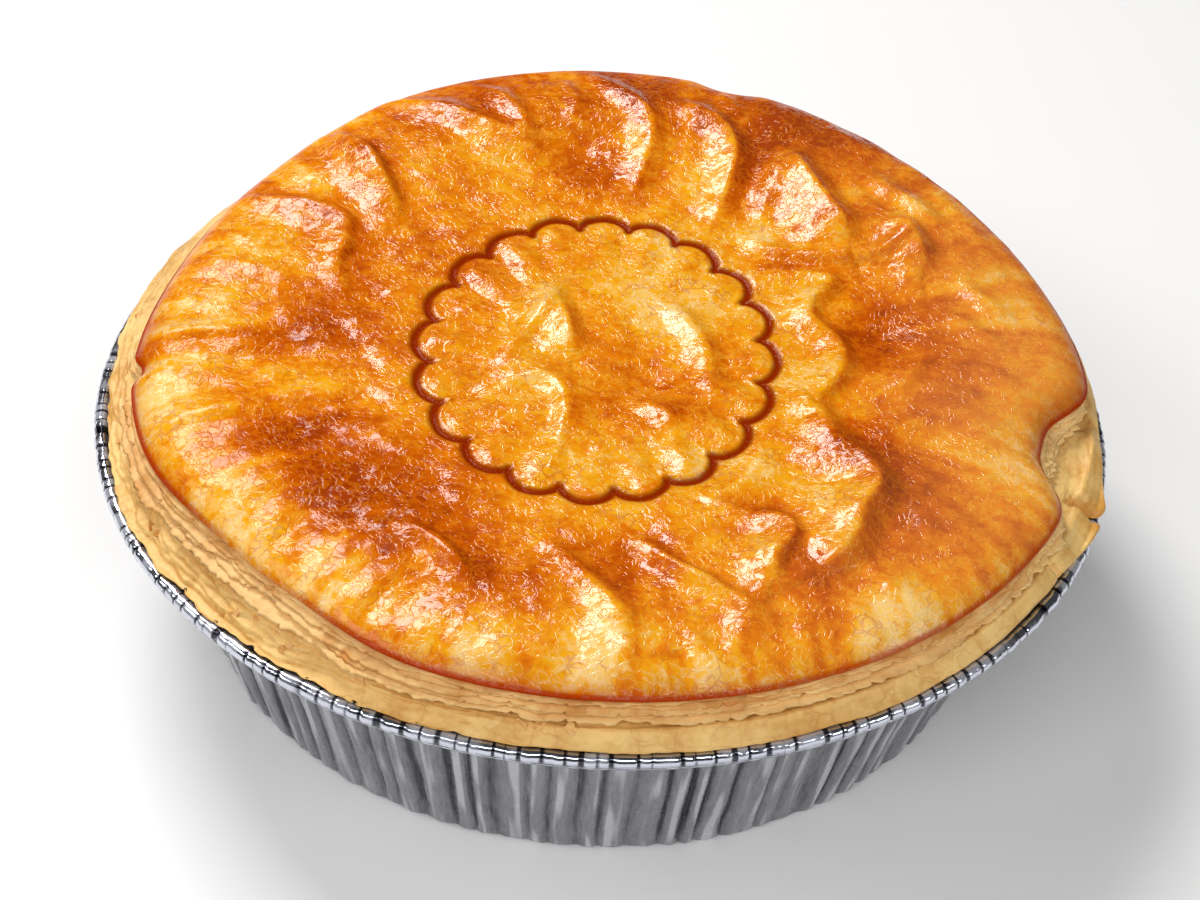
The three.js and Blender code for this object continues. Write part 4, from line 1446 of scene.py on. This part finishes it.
def crumb_shape(material):
    """Scatters small flakes of pastry over a surface."""
    shape = Shape("loose_crumbs")
    density = shape.size("Crumbs per Square Metre", 900000.0)
    seed = shape.size("Seed", 4, "NodeSocketInt")
    where = shape.attribute("crumb_share")
    spots = shape.node(
        "GeometryNodeDistributePointsOnFaces", None,
        {"Mesh": shape.geometry(), "Density": density * where, "Seed": seed}, output="Points")
    tilt = spots.beside("Rotation")
    flake = shape.node(
        "GeometryNodeMeshCube", None,
        {"Size": (1.3 * MM, 1.1 * MM, 0.35 * MM), "Vertices X": 3, "Vertices Y": 3, "Vertices Z": 2},
        output="Mesh")
    ragged = shape.node(
        "ShaderNodeTexNoise", None, {"Scale": 2400.0, "Detail": 1.0}, output="Color")
    centred = shape.vector("SUBTRACT", ragged, MIDDLE_GREY)
    shift = shape.vector("SCALE", centred, scale=0.8 * MM)
    flake = shape.node("GeometryNodeSetPosition", None, {"Geometry": flake, "Offset": shift})
    spin = shape.node(
        "FunctionNodeRandomValue", {"data_type": "FLOAT_VECTOR"},
        {0: (-0.5, -0.5, 0.0), 1: (0.5, 0.5, TAU), "Seed": seed})
    growth = shape.node(
        "FunctionNodeRandomValue", {"data_type": "FLOAT"}, {2: 0.5, 3: 1.2, "Seed": seed}, output=1)
    turned = shape.node(
        "FunctionNodeRotateRotation", {"rotation_space": "LOCAL"}, {0: tilt, 1: spin})
    placed = shape.node(
        "GeometryNodeInstanceOnPoints", None,
        {"Points": spots, "Instance": flake, "Rotation": turned, "Scale": growth}, output="Instances")
    shape.finish(placed, material)
    return shape


# Operators

class PIE_OT_foil_dish(bpy.types.Operator):
    """Makes the pleated foil dish."""
    bl_idname = "pie.foil_dish"
    bl_label = "Foil Dish"

    def execute(self, context):
        finish = foil_finish()
        mesh = foil_shape(finish).grow("foil_dish_pleated", foil_mesh("foil_dish_plain"))
        place("foil_dish_pleated", mesh, None, "foil_dish", "foil")
        return {"FINISHED"}


class PIE_OT_pastry_base(bpy.types.Operator):
    """Makes the pale pastry base."""
    bl_idname = "pie.pastry_base"
    bl_label = "Pastry Base"

    def execute(self, context):
        mesh = base_mesh("base_pastry_edge")
        place("base_pastry_edge", mesh, base_finish(), "pastry_base", "base_pastry")
        return {"FINISHED"}


class PIE_OT_pastry_lid(bpy.types.Operator):
    """Makes the glazed lid and the leaves at its side."""
    bl_idname = "pie.pastry_lid"
    bl_label = "Pastry Lid"

    def execute(self, context):
        place("lid_top", lid_mesh("lid_top"), lid_finish(), "pastry_lid", "glazed_pastry")
        place("lid_leaves", leaves_mesh("lid_leaves"), leaf_finish(), "pastry_lid", "base_pastry")
        return {"FINISHED"}


class PIE_OT_crumbs(bpy.types.Operator):
    """Scatters the loose crumbs on the base's edge."""
    bl_idname = "pie.crumbs"
    bl_label = "Crumbs"

    def execute(self, context):
        ground = bpy.data.objects["base_pastry_edge"].data.copy()
        mesh = crumb_shape(bpy.data.materials["pastry_leaves"]).grow("loose_crumbs", ground)
        add_field(mesh, "toast", np.full(len(mesh.vertices), 0.1))
        place("loose_crumbs", mesh, None, None, "base_pastry")
        return {"FINISHED"}


class PIE_OT_stage(bpy.types.Operator):
    """Sets the floor, the lights and the camera."""
    bl_idname = "pie.stage"
    bl_label = "Stage"

    def execute(self, context):
        make_floor()
        make_lights()
        make_camera()
        return {"FINISHED"}


# Stage

def make_floor():
    """A plain floor under the dish."""
    corners = FLOOR_HALF * np.array([(-1, -1, 0), (1, -1, 0), (1, 1, 0), (-1, 1, 0)])
    mesh = plain_mesh("floor", corners, [np.array([[0, 1, 2, 3]])], smooth_faces=False)
    floor = bpy.data.objects.new("floor", mesh)
    mesh.materials.append(floor_finish())
    bpy.context.scene.collection.objects.link(floor)


def soft_light(name, direction, elevation, distance, width, height, power, tint=(1, 1, 1)):
    """A soft box that looks at the pie from a direction in degrees."""
    turn_angle, lift = math.radians(direction), math.radians(elevation)
    lamp = bpy.data.lights.new(name, "AREA")
    lamp.shape = "RECTANGLE"
    lamp.size, lamp.size_y = width, height
    lamp.energy = power
    lamp.color = tint
    light = bpy.data.objects.new(name, lamp)
    light.location = (
        distance * math.cos(lift) * math.cos(turn_angle),
        distance * math.cos(lift) * math.sin(turn_angle),
        distance * math.sin(lift) + 0.04)
    light.rotation_euler = (math.pi / 2.0 - lift, 0.0, turn_angle + math.pi / 2.0)
    bpy.context.scene.collection.objects.link(light)
    return light


def make_lights():
    """A key light from the left back, soft fills and a dim room."""
    world = bpy.data.worlds.new("studio")
    world.use_nodes = True
    backdrop = world.node_tree.nodes["Background"]
    backdrop.inputs["Color"].default_value = (0.95, 0.97, 1.0, 1.0)
    backdrop.inputs["Strength"].default_value = 0.025
    bpy.context.scene.world = world
    soft_light("key", 127, 51, 0.95, 0.41, 0.37, 6.6, (1.0, 0.98, 0.96))
    soft_light("fill_top", 275, 66, 1.3, 1.3, 0.8, 2.8).visible_glossy = False
    soft_light("fill_front", 262, 44, 1.2, 1.4, 0.25, 6.0)
    soft_light("fill_left", 190, 38, 1.2, 0.7, 0.4, 2.5)
    soft_light("fill_right", -30, 24, 1.2, 0.6, 0.4, 2.3)
    view = bpy.context.scene.view_settings
    view.view_transform = "Standard"
    view.look = "None"


def make_camera():
    """The photograph's view: 40 degrees up, from the front, turned a little in its own plane."""
    elevation = math.radians(VIEW_ELEVATION)
    camera = bpy.data.cameras.new("camera")
    camera.sensor_width = SENSOR_WIDTH
    camera.lens = PHOTO_FOCAL * SENSOR_WIDTH / PHOTO_WIDTH
    camera.clip_start = 0.01
    eye = bpy.data.objects.new("camera", camera)
    back = VIEW_DISTANCE * math.cos(elevation)
    up = VIEW_TARGET + VIEW_DISTANCE * math.sin(elevation)
    tilt = Matrix.Rotation(math.pi / 2.0 - elevation, 4, "X")
    roll = Matrix.Rotation(math.radians(VIEW_ROLL), 4, "Z")
    eye.matrix_world = Matrix.Translation((0.0, -back, up)) @ tilt @ roll
    bpy.context.scene.collection.objects.link(eye)
    bpy.context.scene.camera = eye


class PIE_PT_panel(bpy.types.Panel):
    """Lists the pie's pieces and sizes."""
    bl_label = "Chicken Pie"
    bl_idname = "PIE_PT_panel"
    bl_space_type = "VIEW_3D"
    bl_region_type = "UI"
    bl_category = "Pie"

    def draw(self, context):
        for operator in OPERATORS:
            self.layout.operator(operator.bl_idname)
        for group in (context.scene.pie_dish, context.scene.pie_pastry, context.scene.pie_colours):
            box = self.layout.box()
            for key in group.__annotations__:
                box.prop(group, key)


GROUPS = (PieDishSizes, PiePastrySizes, PieColours)
OPERATORS = (
    PIE_OT_foil_dish, PIE_OT_pastry_base, PIE_OT_pastry_lid, PIE_OT_crumbs, PIE_OT_stage)


def register():
    for kind in GROUPS + OPERATORS + (PIE_PT_panel,):
        bpy.utils.register_class(kind)
    scene = bpy.types.Scene
    scene.pie_dish = bpy.props.PointerProperty(type=PieDishSizes)
    scene.pie_pastry = bpy.props.PointerProperty(type=PiePastrySizes)
    scene.pie_colours = bpy.props.PointerProperty(type=PieColours)


def unregister():
    scene = bpy.types.Scene
    del scene.pie_colours
    del scene.pie_pastry
    del scene.pie_dish
    for kind in reversed(GROUPS + OPERATORS + (PIE_PT_panel,)):
        bpy.utils.unregister_class(kind)


def main():
    register()
    bpy.ops.pie.foil_dish()
    bpy.ops.pie.pastry_base()
    bpy.ops.pie.pastry_lid()
    bpy.ops.pie.crumbs()
    bpy.ops.pie.stage()


if __name__ == "__main__":
    main()
